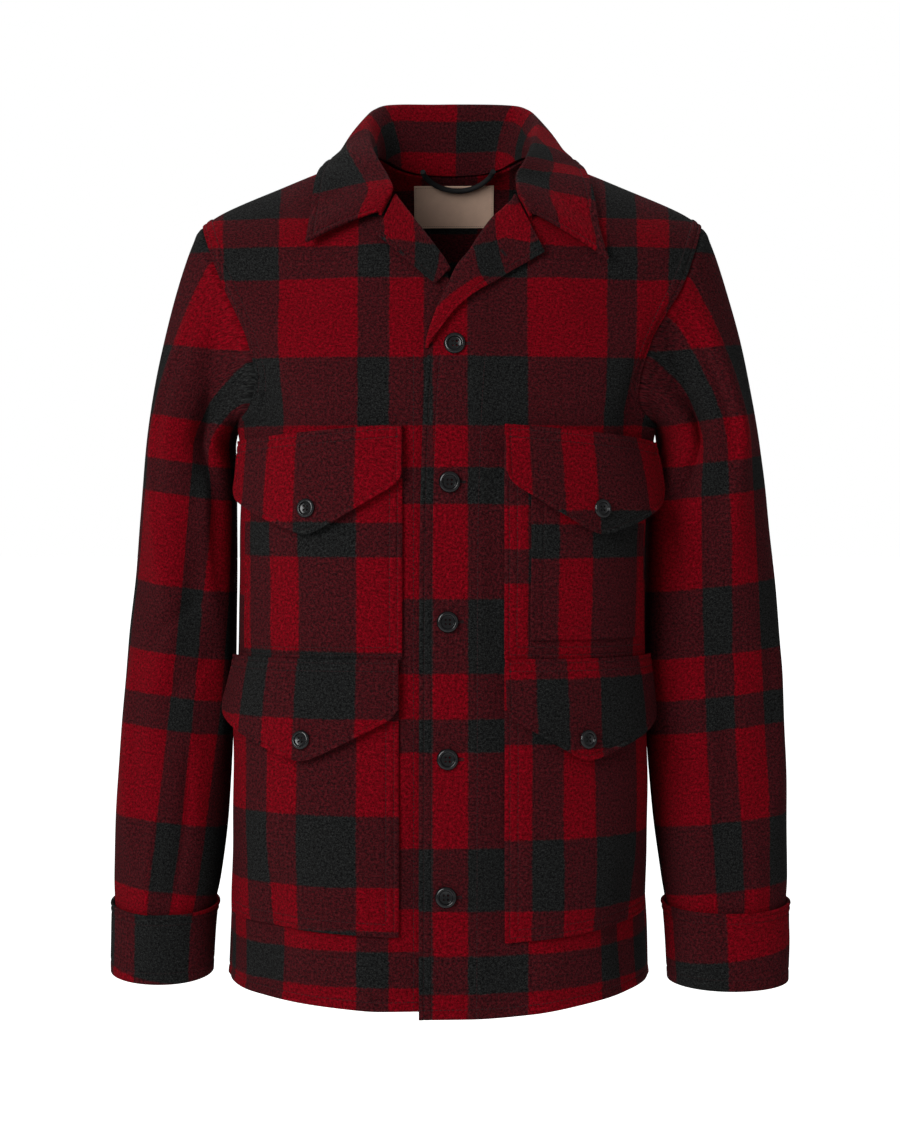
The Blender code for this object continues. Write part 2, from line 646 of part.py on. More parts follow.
def collar_section(t):
    """Seam, crest, edge and run of the section at t, from -1 at the right front end to 1 at the left."""
    rows = np.array(COLLAR_SECTIONS)[::-1]
    share = np.linspace(0, 1, len(rows))
    away = np.abs(t)
    right, left = collar_half(-1), collar_half(1)
    seam, crest = (
        np.stack([
            np.where(t < 0, smooth_read(away, share, right[part][:, k]), smooth_read(away, share, left[part][:, k]))
            for k in range(3)
        ], axis=-1)
        for part in (0, 1)
    )
    edge_x, edge_y, edge_z, run = (smooth_read(away, share, rows[:, k]) for k in (3, 4, 5, 6))
    left_tip = np.maximum(t, 0) ** 6
    edge_x = NECK_MIDDLE + np.sign(t) * (edge_x + LEFT_TIP_OUT * left_tip)
    edge = np.stack([edge_x, edge_y, edge_z - LEFT_TIP_DROP * left_tip], axis=-1)
    return seam, crest, edge, run


def bezier(a, b, c, d, t):
    t = t[:, None]
    return a * (1 - t) ** 3 + 3 * b * t * (1 - t) ** 2 + 3 * c * t * t * (1 - t) + d * t**3


def collar_surface(u, v):
    seam, crest, edge, run = collar_section(2 * u - 1)
    outward = edge - crest
    outward[:, 2] *= 0.35
    outward /= np.linalg.norm(outward, axis=1, keepdims=True)
    up = np.array([0.0, 0.0, 1.0])
    rise = np.linalg.norm(crest - seam, axis=1, keepdims=True)
    into_crest = crest - outward * np.minimum(0.3 * rise, 0.006)
    stand = bezier(seam, seam + up * rise * 0.5, into_crest, crest, np.clip(v / STAND_SHARE, 0, 1))
    into_edge = edge + (crest - edge) * 0.35 + up * 0.004
    down = np.clip((v - STAND_SHARE) / (1 - STAND_SHARE), 0, 1)
    leaf = bezier(crest, crest + outward * run[:, None], into_edge, edge, down)
    points = np.where((v <= STAND_SHARE)[:, None], stand, leaf)
    leafy = v > STAND_SHARE + 0.05
    points[leafy] = clear_of_body(points[leafy], COLLAR_CLEARANCE)
    return points


def pocket_place(side, inner_x, breadth, u, inner_z, outer_z):
    """Arc and level of a place on a pocket, u from its inner to its outer edge, at heights given there."""
    z = inner_z + (outer_z - inner_z) * u
    inner_level = level_at(np.full(np.shape(z), inner_x), z)
    start = arc_at(inner_x, inner_level)
    arc = start + side * breadth * u / quarter_length(3.5)
    level = level_at(torso(arc, inner_level, -1)[..., 0], z)
    return arc, level


def puffed(u, v, puff):
    return puff * (np.clip(4 * u * (1 - u), 0, 1) * np.clip(4 * v * (1 - v), 0, 1)) ** 0.6


def pocket_surface(side, inner_x, breadth, top, bottom, height, puff):
    def surface(u, v):
        inner = top[0] + (bottom[0] - top[0]) * v
        outer = top[1] + (bottom[1] - top[1]) * v
        arc, level = pocket_place(side, inner_x, breadth, u, inner, outer)
        return off_torso(arc, level, -1, height + puffed(u, v, puff))

    return surface


def pencil_surface(u, v):
    """The small patch lies on the wearer's left chest pocket and follows its swell."""
    z = PENCIL_TOP + (PENCIL_BOTTOM - PENCIL_TOP) * v
    arc, level = pocket_place(1, PENCIL_INNER, PENCIL_BREADTH, u, z, z)
    chest_u = (PENCIL_INNER - CHEST_INNER[1] + PENCIL_BREADTH * u) / CHEST_BREADTH
    chest_v = (CHEST_TOP[0] - z) / (CHEST_TOP[0] - CHEST_BOTTOM[0])
    return off_torso(arc, level, -1, POCKET_LAYER + PENCIL_LAYER + puffed(chest_u, chest_v, CHEST_PUFF))


def flap_length(u, point):
    """How far a flap hangs at u: square sides, rounded corners and a rounded point at the share given."""
    from_point = np.where(u < point, (point - u) / point, (u - point) / (1 - point))
    to_middle = 1 - np.sqrt(from_point**2 + 0.010) + math.sqrt(0.010)
    from_side = np.minimum(u, 1 - u) * CHEST_BREADTH
    corner = FLAP_ROUND - np.sqrt(np.maximum(FLAP_ROUND**2 - np.maximum(FLAP_ROUND - from_side, 0) ** 2, 0))
    return FLAP_SIDE + (FLAP_POINT - FLAP_SIDE) * to_middle - corner * 0.8


def flap_surface(side, inner_x, breadth, top, point, lift, puff, pocket_top, pocket_bottom):
    """A flap lies on the pocket's top edge, lifts off the pocket towards its own edge, and flares outwards."""

    def surface(u, v):
        hang = flap_length(u, point) * v
        wide = breadth + FLAP_WIDER * v
        arc, level = pocket_place(side, inner_x, wide, u, top[0] - hang, top[1] - hang)
        down = np.clip((pocket_top - (top[0] - hang)) / (pocket_top - pocket_bottom), 0, 1)
        return off_torso(arc, level, -1, POCKET_LAYER + FLAP_LAYER + puffed(u, down, puff) + lift * v**1.2)

    return surface


def button(name, place, out, diameter, material):
    """A turned button: flat back, raised rim and a shallow well, its back on the cloth."""
    radius = diameter / 2
    profile = ((0.0, 0.60), (0.48, 0.62), (0.70, 1.0), (0.92, 0.90), (1.0, 0.40), (0.88, 0.0), (0.0, 0.0))
    mesh = bpy.data.meshes.new(name)
    points = [(radius * r, 0.0, BUTTON_THICKNESS * h) for r, h in profile]
    mesh.from_pydata(points, [(i, i + 1) for i in range(len(points) - 1)], [])
    piece = add_object(name, mesh, material)
    turn = piece.modifiers.new("turned", "SCREW")
    turn.steps = turn.render_steps = 12
    turn.use_merge_vertices = True
    turn.merge_threshold = 0.00001
    piece.location = Vector(place)
    piece.rotation_euler = Vector(out).to_track_quat("Z", "Y").to_euler()
    return piece


def build_fronts():
    cloth("front_right", under_front, FRONT_STEPS, len(PANEL_RINGS) - 1, MAROON)
    cloth("front_left", over_front, FRONT_STEPS, len(PANEL_RINGS) - 1, RED)


def build_back():
    cloth("back", back_panel, 22, len(PANEL_RINGS) - 1, MAROON)


def build_sleeves():
    rows = SLEEVE_CAP_ROWS + SLEEVE_RING_ROWS
    for side, word in ((-1, "right"), (1, "left")):
        surface, columns = sleeve_surface(side)
        cloth(f"sleeve_{word}", surface, columns, rows, RED, tube=True)
        cloth(f"cuff_{word}", cuff_surface(side), columns, 2, CHARCOAL, FOLDED_WALL, tube=True)


def build_collar_and_lapels():
    surface, across, along = lapel_surface(UNDER_LAPEL, UNDER_READER, no_lift)
    cloth("lapel_right", surface, across, along, RED)
    surface, across, along = lapel_surface(OVER_LAPEL, OVER_READER, over_lift)
    cloth("lapel_left", surface, across, along, RED)
    cloth("collar", collar_surface, 26, 9, MAROON, FOLDED_WALL)


def build_pockets():
    for side, word in ((-1, "right"), (1, "left")):
        chest = pocket_surface(side, CHEST_INNER[side], CHEST_BREADTH, CHEST_TOP, CHEST_BOTTOM, POCKET_LAYER, CHEST_PUFF)
        cloth(f"chest_pocket_{word}", chest, 9, 7, MAROON)
        hip = pocket_surface(side, HIP_INNER[side], HIP_BREADTH[side], HIP_TOP, HIP_BOTTOM[side], POCKET_LAYER, HIP_PUFF)
        cloth(f"hip_pocket_{word}", hip, 9, 8, MAROON)
    cloth("pencil_pocket_left", pencil_surface, 7, 5, RED)


def build_flaps():
    for side, word in ((-1, "right"), (1, "left")):
        lift = FLAP_LIFT_OVER_PENCIL if side > 0 else FLAP_LIFT
        chest = flap_surface(
            side, CHEST_INNER[side], CHEST_BREADTH, CHEST_TOP, CHEST_POINT_SHARE[side], lift, CHEST_PUFF,
            CHEST_TOP[0], CHEST_BOTTOM[0],
        )
        cloth(f"chest_flap_{word}", chest, 10, 4, CHARCOAL, FOLDED_WALL)
        hip_top = (HIP_TOP[0] + 0.0035, HIP_TOP[1] + 0.0035)
        hip = flap_surface(
            side, HIP_INNER[side], HIP_BREADTH[side], hip_top, HIP_POINT_SHARE[side], FLAP_LIFT, HIP_PUFF,
            HIP_TOP[0], HIP_BOTTOM[side][0],
        )
        cloth(f"hip_flap_{word}", hip, 10, 4, CHARCOAL, FOLDED_WALL)
        points = {"chest": CHEST_POINT_SHARE[side], "hip": HIP_POINT_SHARE[side]}
        for flap, where in ((chest, "chest"), (hip, "hip")):
            seat = 1 - FLAP_BUTTON_UP[where] / FLAP_POINT
            u, v = points[where] + np.array([0.0, 0.02, 0.0]), np.array([seat, seat, seat + 0.02])
            a, b, c = flap(u, v)
            out = np.cross(b - a, c - a) * side
            out /= np.linalg.norm(out)
            out = out if out[1] < 0 else -out
            place = a + out * (FOLDED_WALL / 2 + 0.0006)
            button(f"button_{where}_{word}", place, out, FLAP_BUTTON_DIAMETER, BLACK)


def build_front_buttons():
    for number, (x, z) in enumerate(FRONT_BUTTONS, start=1):
        level = level_at(x, z)
        arc = arc_at(x, level)
        out = torso_out(arc, level, -1)
        place = over_front_at(np.array([arc]), np.array([level]))[0] + out * (WALL / 2 + 0.0005)
        button(f"button_front_{number}", place, out, FRONT_BUTTON_DIAMETER, BLACK)


def inside_back(x, z, distance):
    """Points at places across and heights, laid against the inner side of the back's own faces."""
    mesh = bpy.data.objects["back"].data
    faces = BVHTree.FromPolygons([vertex.co for vertex in mesh.vertices], [face.vertices for face in mesh.polygons])
    level = level_at(x, z, 1)
    laid = []
    for point in torso(arc_at(x, level), level, 1):
        place, out, _, _ = faces.find_nearest(Vector(point))
        laid.append(place - out * math.copysign(distance, out.y))
    return np.array(laid)


def build_label_and_loop():
    def label(u, v):
        x = LABEL_MIDDLE + LABEL_SIZE[0] * (u - 0.5)
        return inside_back(x, LABEL_TOP - LABEL_SIZE[1] * v, WALL / 2 + LABEL_WALL / 2 + LABEL_OFF)

    cloth("neck_label", label, 6, 3, LABEL_LINEN, LABEL_WALL)
    curve = bpy.data.curves.new("hanger_loop", "CURVE")
    curve.dimensions = "3D"
    curve.bevel_depth = LOOP_THICK / 2
    curve.bevel_resolution = 1
    curve.use_fill_caps = True
    spline = curve.splines.new("POLY")
    share = np.linspace(0, 1, 13)
    x = LOOP_ENDS[0] + (LOOP_ENDS[1] - LOOP_ENDS[0]) * share
    z = LOOP_TOP - LOOP_SAG * np.clip(4 * share * (1 - share), 0, 1) ** 0.7
    points = inside_back(x, z, WALL / 2 + LABEL_WALL + LOOP_THICK / 2 + LABEL_OFF + LOOP_OFF)
    spline.points.add(len(points) - 1)
    for target, point in zip(spline.points, points):
        target.co = (*point, 1.0)
    add_object("hanger_loop", curve, BLACK_TAPE)


def worn_form():
    """The whole form as a tree of faces, to keep other cloth clear of it."""
    arcs, levels = np.linspace(-1, 1, 81), np.linspace(0, RIDGE, 105)
    points, faces = [], []
    for face in (-1, 1):
        first = len(points)
        grid_arcs, grid_levels = np.meshgrid(arcs, levels)
        points.extend(map(Vector, torso(grid_arcs.ravel(), grid_levels.ravel(), face)))
        for row in range(len(levels) - 1):
            for column in range(len(arcs) - 1):
                a = first + row * len(arcs) + column
                corners = (a, a + 1, a + 1 + len(arcs), a + len(arcs))
                faces.append(corners if face < 0 else corners[::-1])
    return BVHTree.FromPolygons(points, faces)


for old in list(bpy.data.objects):
    bpy.data.objects.remove(old, do_unlink=True)
COLLECTION = new_collection()
RED = new_material("wool_red", WOOL_RED, 0.95)
MAROON = new_material("wool_maroon", WOOL_MAROON, 0.95)
CHARCOAL = new_material("wool_charcoal", WOOL_CHARCOAL, 0.95)
BLACK = new_material("button_black", BUTTON_BLACK, 0.25)
BLACK_TAPE = new_material("tape_black", TAPE_BLACK, 0.8)
LABEL_LINEN = new_material("label_linen", LINEN, 0.9)
UNDER_READER = edge_reader(UNDER_EDGE)
OVER_READER = edge_reader(OVER_EDGE)
FORM = worn_form()
build_fronts()
build_back()
build_sleeves()
build_collar_and_lapels()
build_pockets()
build_flaps()
build_front_buttons()
build_label_and_loop()
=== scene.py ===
import math

import bpy
import numpy as np
from mathutils import Matrix, Vector
from mathutils.bvhtree import BVHTree


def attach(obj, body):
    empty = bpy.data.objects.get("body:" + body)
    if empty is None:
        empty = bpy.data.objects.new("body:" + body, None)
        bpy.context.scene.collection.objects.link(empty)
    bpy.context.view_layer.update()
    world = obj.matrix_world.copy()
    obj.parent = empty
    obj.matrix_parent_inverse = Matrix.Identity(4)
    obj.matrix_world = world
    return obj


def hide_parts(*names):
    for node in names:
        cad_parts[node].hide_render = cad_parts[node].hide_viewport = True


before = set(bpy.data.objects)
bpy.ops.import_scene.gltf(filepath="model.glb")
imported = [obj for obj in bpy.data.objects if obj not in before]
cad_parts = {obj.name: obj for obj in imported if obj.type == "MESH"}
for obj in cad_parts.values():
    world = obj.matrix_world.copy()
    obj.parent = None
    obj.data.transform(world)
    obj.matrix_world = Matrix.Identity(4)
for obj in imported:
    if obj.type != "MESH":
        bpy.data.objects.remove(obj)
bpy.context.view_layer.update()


# Fronts
# Two panels of heavy napped wool twill, woven in a red and black check and cut from one width of cloth.
# They are seamed to the back at the sides and shoulders, and the wearer's left front laps over the right.
WALL = 0.0024
FOLDED_WALL = 0.0030
SOFT_EDGE = 0.0009
FOLDED_SOFT_EDGE = 0.0012
SEAM_GAP = 0.0003
LAYER_GAP = 0.0012
NECK_MIDDLE = 0.0025
ROW_STEP = 0.0040

# The body's rings from hem to shoulder ridge, as in the CAD source
RING_COLUMNS = ("side_z", "front_z", "back_z", "half", "middle", "front", "back")
RINGS = (
    (-0.752, -0.762, -0.756, 0.1925, -0.0096, 0.150, 0.126),
    (-0.660, -0.663, -0.662, 0.1885, -0.0096, 0.148, 0.126),
    (-0.560, -0.561, -0.560, 0.1860, -0.0088, 0.143, 0.118),
    (-0.450, -0.450, -0.450, 0.1840, -0.0080, 0.137, 0.108),
    (-0.350, -0.347, -0.348, 0.1830, -0.0070, 0.136, 0.114),
    (-0.298, -0.292, -0.295, 0.1850, -0.0050, 0.134, 0.120),
    (-0.250, -0.240, -0.245, 0.1900, -0.0025, 0.130, 0.124),
    (-0.212, -0.195, -0.200, 0.2120, 0.0000, 0.122, 0.1245),
    (-0.170, -0.148, -0.152, 0.2280, 0.0020, 0.112, 0.121),
    (-0.137, -0.104, -0.105, 0.2380, 0.0030, 0.097, 0.115),
    (-0.110, -0.066, -0.058, 0.2430, 0.0030, 0.078, 0.105),
    (-0.093, -0.036, -0.022, 0.2450, 0.0030, 0.054, 0.089),
    (-0.0825, -0.0125, -0.001, 0.2430, 0.0030, 0.028, 0.056),
    (-0.0787, 0.0, 0.0, 0.2400, 0.0030, 0.0, 0.0),
)
RIDGE = len(RINGS) - 1
ARMPIT = 6
SQUARENESS = 2.5
FALL_ACROSS = (0.0, 0.25, 0.38, 0.52, 0.66, 0.80, 0.87, 0.915, 0.95, 1.0)
FALL = (0.0, 0.0, 0.095, 0.258, 0.435, 0.612, 0.712, 0.795, 0.882, 1.0)
ARMHOLE_RINGS = (6.0, 6.05, 6.15, 6.35, 6.7, 7.1, 7.6, 8.2, 9.0, 10.0, 11.0, 12.0, 13.0)
ARMHOLE_SHARE = {
    -1: (1.0, 0.975, 0.94, 0.895, 0.848, 0.820, 0.815, 0.826, 0.858, 0.888, 0.908, 0.930, 0.943),
    1: (1.0, 0.982, 0.957, 0.925, 0.903, 0.895, 0.893, 0.897, 0.905, 0.915, 0.925, 0.935, 0.943),
}
UNDER_EDGE = (
    (0.019, -0.762), (0.019, -0.300), (0.019, -0.165), (0.0027, -0.128), (-0.0055, -0.111),
    (-0.018, -0.093), (-0.0335, -0.072), (-0.049, -0.051), (-0.058, -0.036), (-0.066, -0.023),
    (-0.072, -0.008), (-0.0745, 0.0),
)
OVER_EDGE = (
    (-0.026, -0.771), (-0.0255, -0.420), (-0.0240, -0.300), (-0.0190, -0.195), (-0.0160, -0.178),
    (-0.0095, -0.158), (0.0045, -0.129), (0.012, -0.114), (0.0205, -0.104), (0.0295, -0.089),
    (0.0405, -0.072), (0.0515, -0.0615), (0.0590, -0.0535), (0.0645, -0.039), (0.071, -0.024),
    (0.077, -0.008), (0.0795, 0.0),
)
OVERLAP_LIFT = WALL + LAYER_GAP
OVERLAP_FULL = 0.0225
OVERLAP_END = 0.046
OVER_HEM_DROP = 0.007

# Distances from an edge at which the cloth has lines of its mesh: stitching at the two named ones
EDGE_STITCH = 0.0036
SECOND_STITCH = 0.0106
PLACKET_STITCH = 0.0500
EDGE_LINES = (0.0, 0.0010, 0.0022, 0.0030, EDGE_STITCH, 0.0042, 0.0054, 0.0072, 0.0090, 0.0099,
              SECOND_STITCH, 0.0113, 0.0124, 0.0145)
PLACKET_LINES = EDGE_LINES + (0.018, 0.022, 0.026, 0.030, 0.034, 0.038, 0.042, 0.046, 0.0490,
                              PLACKET_STITCH, 0.0510, 0.054)
HEM_LINES = (0.0, 0.0012, 0.0030, 0.0055, 0.0072, 0.0080, 0.0088, 0.0105)
HEM_STITCH = 0.0080

# Creases of the body: from x, z to x, z, bow, half breadth and height, in metres; troughs are negative
FRONT_CREASES = (
    (-0.196, -0.150, -0.158, -0.262, 0.006, 0.0120, -0.0042),
    (-0.186, -0.190, -0.176, -0.300, -0.004, 0.0090, 0.0024),
    (0.196, -0.148, 0.160, -0.262, -0.006, 0.0120, -0.0046),
    (0.184, -0.190, 0.176, -0.300, 0.004, 0.0090, 0.0026),
    (-0.190, -0.120, -0.120, -0.150, 0.004, 0.0160, -0.0016),
    (0.192, -0.116, 0.118, -0.152, -0.004, 0.0160, -0.0018),
    (-0.060, -0.075, -0.110, -0.150, 0.005, 0.0150, 0.0016),
    (0.075, -0.080, 0.118, -0.160, -0.005, 0.0150, 0.0016),
    (-0.150, -0.640, -0.168, -0.765, 0.003, 0.0160, -0.0030),
    (-0.075, -0.700, -0.070, -0.768, 0.002, 0.0180, 0.0022),
    (0.085, -0.700, 0.078, -0.768, 0.002, 0.0180, 0.0022),
    (0.150, -0.640, 0.166, -0.765, -0.003, 0.0160, -0.0030),
    (-0.030, -0.560, -0.038, -0.730, 0.003, 0.0110, -0.0014),
    (0.036, -0.300, 0.041, -0.470, -0.002, 0.0090, -0.0010),
)
BACK_CREASES = (
    (-0.185, -0.150, -0.150, -0.330, 0.010, 0.0150, -0.0060),
    (-0.160, -0.170, -0.118, -0.380, 0.010, 0.0150, 0.0040),
    (0.185, -0.150, 0.152, -0.340, -0.010, 0.0150, -0.0060),
    (0.160, -0.170, 0.120, -0.390, -0.010, 0.0150, 0.0040),
    (-0.070, -0.060, -0.050, -0.240, 0.006, 0.0220, -0.0030),
    (0.080, -0.060, 0.058, -0.250, -0.006, 0.0220, -0.0030),
    (-0.120, -0.420, -0.132, -0.740, 0.008, 0.0200, 0.0044),
    (-0.055, -0.400, -0.048, -0.750, -0.006, 0.0210, -0.0042),
    (0.020, -0.430, 0.028, -0.755, 0.006, 0.0200, 0.0040),
    (0.085, -0.400, 0.092, -0.750, 0.004, 0.0210, -0.0044),
    (0.140, -0.440, 0.150, -0.740, -0.006, 0.0180, 0.0040),
    (-0.100, -0.330, 0.000, -0.352, 0.006, 0.0120, -0.0022),
    (0.010, -0.360, 0.110, -0.335, -0.006, 0.0120, -0.0022),
)

BODY_CREASE_STRENGTH = 1.6
BODY_WAVER = 0.0014
HEM_WAVER = 0.0022

# The check: breadths of black, red, black, red across, and of red, black, red, black downwards
WARP_REPEAT = 0.183
WEFT_REPEAT = 0.213
WARP_BLACK = ((0.000, 0.053), (0.125, 0.153))
WEFT_BLACK = ((0.083, 0.145), (0.183, 0.213))
CHECK_SOFT = 0.0007
BODY_ROW_Z = (-0.785, -0.7414, -0.7098, -0.6728, -0.620, -0.5364, -0.5074, -0.4678, -0.4024, -0.3196, -0.2875,
              -0.2513, -0.1908, -0.1209, -0.0914, -0.0649, 0.0)
BODY_ROW_AT = (0.470, 0.426, 0.396, 0.358, 0.296, 0.213, 0.183, 0.145, 0.083, 0.0, -0.030,
               -0.068, -0.130, -0.213, -0.243, -0.281, -0.380)
UNDER_CHECK = (-0.0802, 0.125)
OVER_CHECK = (0.0689, 0.053)

WOOL_RED = (0.360, 0.0022, 0.0120, 1.0)
WOOL_RED_DEEP = (0.075, 0.0002, 0.0020, 1.0)
WOOL_MAROON = (0.125, 0.0105, 0.0155, 1.0)
WOOL_MAROON_DARK = (0.012, 0.0025, 0.0035, 1.0)
WOOL_CHARCOAL = (0.0240, 0.0255, 0.0255, 1.0)
WOOL_BLACK = (0.0020, 0.0022, 0.0024, 1.0)
WOOL_GREY_FIBRE = (0.095, 0.100, 0.094, 1.0)
WOOL_PINK_FIBRE = (0.360, 0.050, 0.055, 1.0)
THREAD_DARK = (0.020, 0.0055, 0.0065, 1.0)
THREAD_BLACK = (0.0060, 0.0060, 0.0065, 1.0)


def smooth_read(at, places, values):
    """Values between the places, on a cubic curve with no overshoot in the slopes."""
    places = np.asarray(places, float)
    values = np.asarray(values, float)
    steps = np.diff(places)
    rises = np.diff(values) / steps
    slopes = np.empty(len(values))
    slopes[0], slopes[-1] = rises[0], rises[-1]
    same_way = rises[:-1] * rises[1:] > 0
    slopes[1:-1] = np.where(same_way, 2 * rises[:-1] * rises[1:] / (rises[:-1] + rises[1:] + 1e-30), 0)
    at = np.clip(at, places[0], places[-1])
    i = np.clip(np.searchsorted(places, at, side="right") - 1, 0, len(steps) - 1)
    t = (at - places[i]) / steps[i]
    before = values[i] * (1 + 2 * t) * (1 - t) ** 2 + slopes[i] * steps[i] * t * (1 - t) ** 2
    after = values[i + 1] * t * t * (3 - 2 * t) + slopes[i + 1] * steps[i] * t * t * (t - 1)
    return before + after


def ease(low, high, value):
    """0 at low, 1 at high, with soft ends."""
    t = np.clip((value - low) / (high - low), 0.0, 1.0)
    return t * t * (3 - 2 * t)


def ring_table():
    """The rings with one more past each end, so that the front runs smoothly over the ridge into the back."""
    rows = np.array(RINGS, float)
    below = 2 * rows[0] - rows[1]
    past = rows[-2].copy()
    past[5:] *= -1
    return np.vstack([below, rows, past])


RING_TABLE = ring_table()


def ring(column, level):
    """A ring's measure at a level from 0, the hem, to RIDGE, read on a Catmull-Rom curve."""
    values = RING_TABLE[:, RING_COLUMNS.index(column)]
    level = np.clip(np.asarray(level, float), 0.0, RIDGE)
    i = np.minimum(level.astype(int), RIDGE - 1)
    t = level - i
    a, b, c, d = (values[i + k] for k in range(4))
    return 0.5 * (2 * b + (c - a) * t + (2 * a - 5 * b + 4 * c - d) * t**2 + (3 * b - a - 3 * c + d) * t**3)


def quarter_arc():
    """Shares of the quarter ring's length, against the share of the half width that each reaches."""
    turn = np.linspace(0.0, math.pi / 2, 801)
    across = np.sin(turn) ** (2 / SQUARENESS)
    depth = 0.72 * np.cos(turn) ** (2 / SQUARENESS)
    length = np.concatenate([[0.0], np.cumsum(np.hypot(np.diff(across), np.diff(depth)))])
    return length / length[-1], across


ARC_SHARE, ARC_ACROSS = quarter_arc()


def across_of(arc):
    return np.sign(arc) * np.interp(np.abs(arc), ARC_SHARE, ARC_ACROSS)


def arc_of(across):
    return np.sign(across) * np.interp(np.abs(across), ARC_ACROSS, ARC_SHARE)


def torso(arc, level, face):
    """A point on the worn form. arc runs from -1 to 1 between the side seams, and face is -1 in front."""
    across = across_of(np.clip(arc, -1.0, 1.0))
    share = np.abs(across)
    x = ring("middle", level) + ring("half", level) * across
    stand = ring("front" if face < 0 else "back", level)
    y = face * stand * np.maximum(1 - share**SQUARENESS, 0.0) ** (1 / SQUARENESS)
    centre_z = ring("front_z" if face < 0 else "back_z", level)
    z = centre_z + (ring("side_z", level) - centre_z) * smooth_read(share, FALL_ACROSS, FALL)
    return np.stack(np.broadcast_arrays(x, y, z), axis=-1)


def torso_out(arc, level, face):
    """The outward direction there."""
    step = 0.002
    round_body = torso(arc + step, level, face) - torso(arc - step, level, face)
    upward = torso(arc, level + 10 * step, face) - torso(arc, level - 10 * step, face)
    out = np.cross(round_body, upward) * -face
    return out / np.maximum(np.linalg.norm(out, axis=-1, keepdims=True), 1e-12)


def creased(creases, a, b):
    """Height of listed creases at places a, b: each is steep on one side, bowed, and fades at its ends."""
    total = np.zeros(np.broadcast(a, b).shape)
    for a0, b0, a1, b1, bow, half, height in creases:
        length = math.hypot(a1 - a0, b1 - b0)
        along = ((a - a0) * (a1 - a0) + (b - b0) * (b1 - b0)) / length**2
        off = ((b - b0) * (a1 - a0) - (a - a0) * (b1 - b0)) / length - bow * 4 * along * (1 - along)
        half_here = half * (0.75 + 0.5 * np.clip(along, 0, 1)) * np.where(off > 0, 1.35, 0.75)
        fade = ease(-0.20, 0.22, along) * (1 - ease(0.68, 1.18, along))
        total += height * np.exp(-np.abs(off / half_here) ** 1.8) * fade
    return total


def wavering(a, b, size, seed):
    """The slow unevenness of hanging cloth: a few long waves that cross."""
    waves = ((31, 17, 1.0), (-23, 41, 0.8), (57, -29, 0.5), (12, 73, 0.4), (88, 35, 0.25))
    total = 0.0
    for number, (along_a, along_b, share) in enumerate(waves):
        total = total + share * np.sin(a * along_a + b * along_b + seed * (1.7 + number))
    return size * total / 2.0


def body_relief(arc, level, face):
    """Creases and unevenness of the body's cloth, fading out at the side and shoulder seams."""
    place = torso(arc, level, face)
    x, z = place[..., 0], place[..., 2]
    creases = FRONT_CREASES if face < 0 else BACK_CREASES
    height = BODY_CREASE_STRENGTH * creased(creases, x, z) + wavering(x, z, BODY_WAVER, 3.0 + face)
    hang = HEM_WAVER * np.sin(x * 33 + 1.1 * face) * ease(-0.60, -0.76, z)
    fade = (1 - ease(0.90, 0.995, np.abs(arc))) * (1 - ease(11.0, 12.6, level))
    return (height + hang) * fade


def off_torso(arc, level, face, distance):
    distance = np.asarray(distance, float) + body_relief(arc, level, face)
    return torso(arc, level, face) + torso_out(arc, level, face) * distance[..., None]


def level_at(x, z, face=-1):
    """The level at which the form passes through a place across and a height, found by halving."""
    x, z = np.broadcast_arrays(np.asarray(x, float), np.asarray(z, float))
    low, high = np.zeros(x.shape), np.full(x.shape, float(RIDGE))
    for _ in range(30):
        middle = (low + high) / 2
        across = np.clip((x - ring("middle", middle)) / ring("half", middle), -1, 1)
        above = torso(arc_of(across), middle, face)[..., 2] > z
        high = np.where(above, middle, high)
        low = np.where(above, low, middle)
    return (low + high) / 2


def arc_at(x, level):
    return arc_of(np.clip((x - ring("middle", level)) / ring("half", level), -1, 1))


ROUND_LEVELS = np.linspace(0, RIDGE, 53)
ROUND_ARCS = np.linspace(0, 1, 121)


def lengths_round(face):
    """How far each arc lies from the centre round the body, level by level, seen from above."""
    arcs, levels = np.meshgrid(ROUND_ARCS, ROUND_LEVELS)
    points = torso(arcs, levels, face)[..., :2]
    steps = np.linalg.norm(np.diff(points, axis=1), axis=-1)
    return np.concatenate([np.zeros((len(ROUND_LEVELS), 1)), np.cumsum(steps, axis=1)], axis=1)


LENGTHS_ROUND = {face: lengths_round(face) for face in (-1, 1)}


def round_length(level, face=-1):
    """The length round a quarter of the ring, from the centre to the side seam."""
    return np.interp(level, ROUND_LEVELS, LENGTHS_ROUND[face][:, -1])


def way_round(arc, level, face):
    """The length round the body from the centre to an arc."""
    table = LENGTHS_ROUND[face]
    row = np.clip(np.asarray(level) / RIDGE * (len(ROUND_LEVELS) - 1), 0, len(ROUND_LEVELS) - 1.001)
    column = np.clip(np.abs(arc) * (len(ROUND_ARCS) - 1), 0, len(ROUND_ARCS) - 1.001)
    row, column = np.broadcast_arrays(row, column)
    i, j = row.astype(int), column.astype(int)
    s, t = row - i, column - j
    low = table[i, j] * (1 - t) + table[i, j + 1] * t
    high = table[i + 1, j] * (1 - t) + table[i + 1, j + 1] * t
    return np.sign(arc) * (low * (1 - s) + high * s)


def edge_reader(edge, face=-1):
    """Reads a panel's edge, given as places across and heights, by level."""
    x = np.array([point[0] for point in edge])
    z = np.array([point[1] for point in edge])
    levels = level_at(x, z, face)
    levels[-1] = RIDGE if edge[-1][1] == 0.0 else levels[-1]
    levels = np.maximum.accumulate(levels + np.arange(len(levels)) * 1e-6)
    return lambda level: smooth_read(level, levels, x)


UNDER_READER = edge_reader(UNDER_EDGE)
OVER_READER = edge_reader(OVER_EDGE)


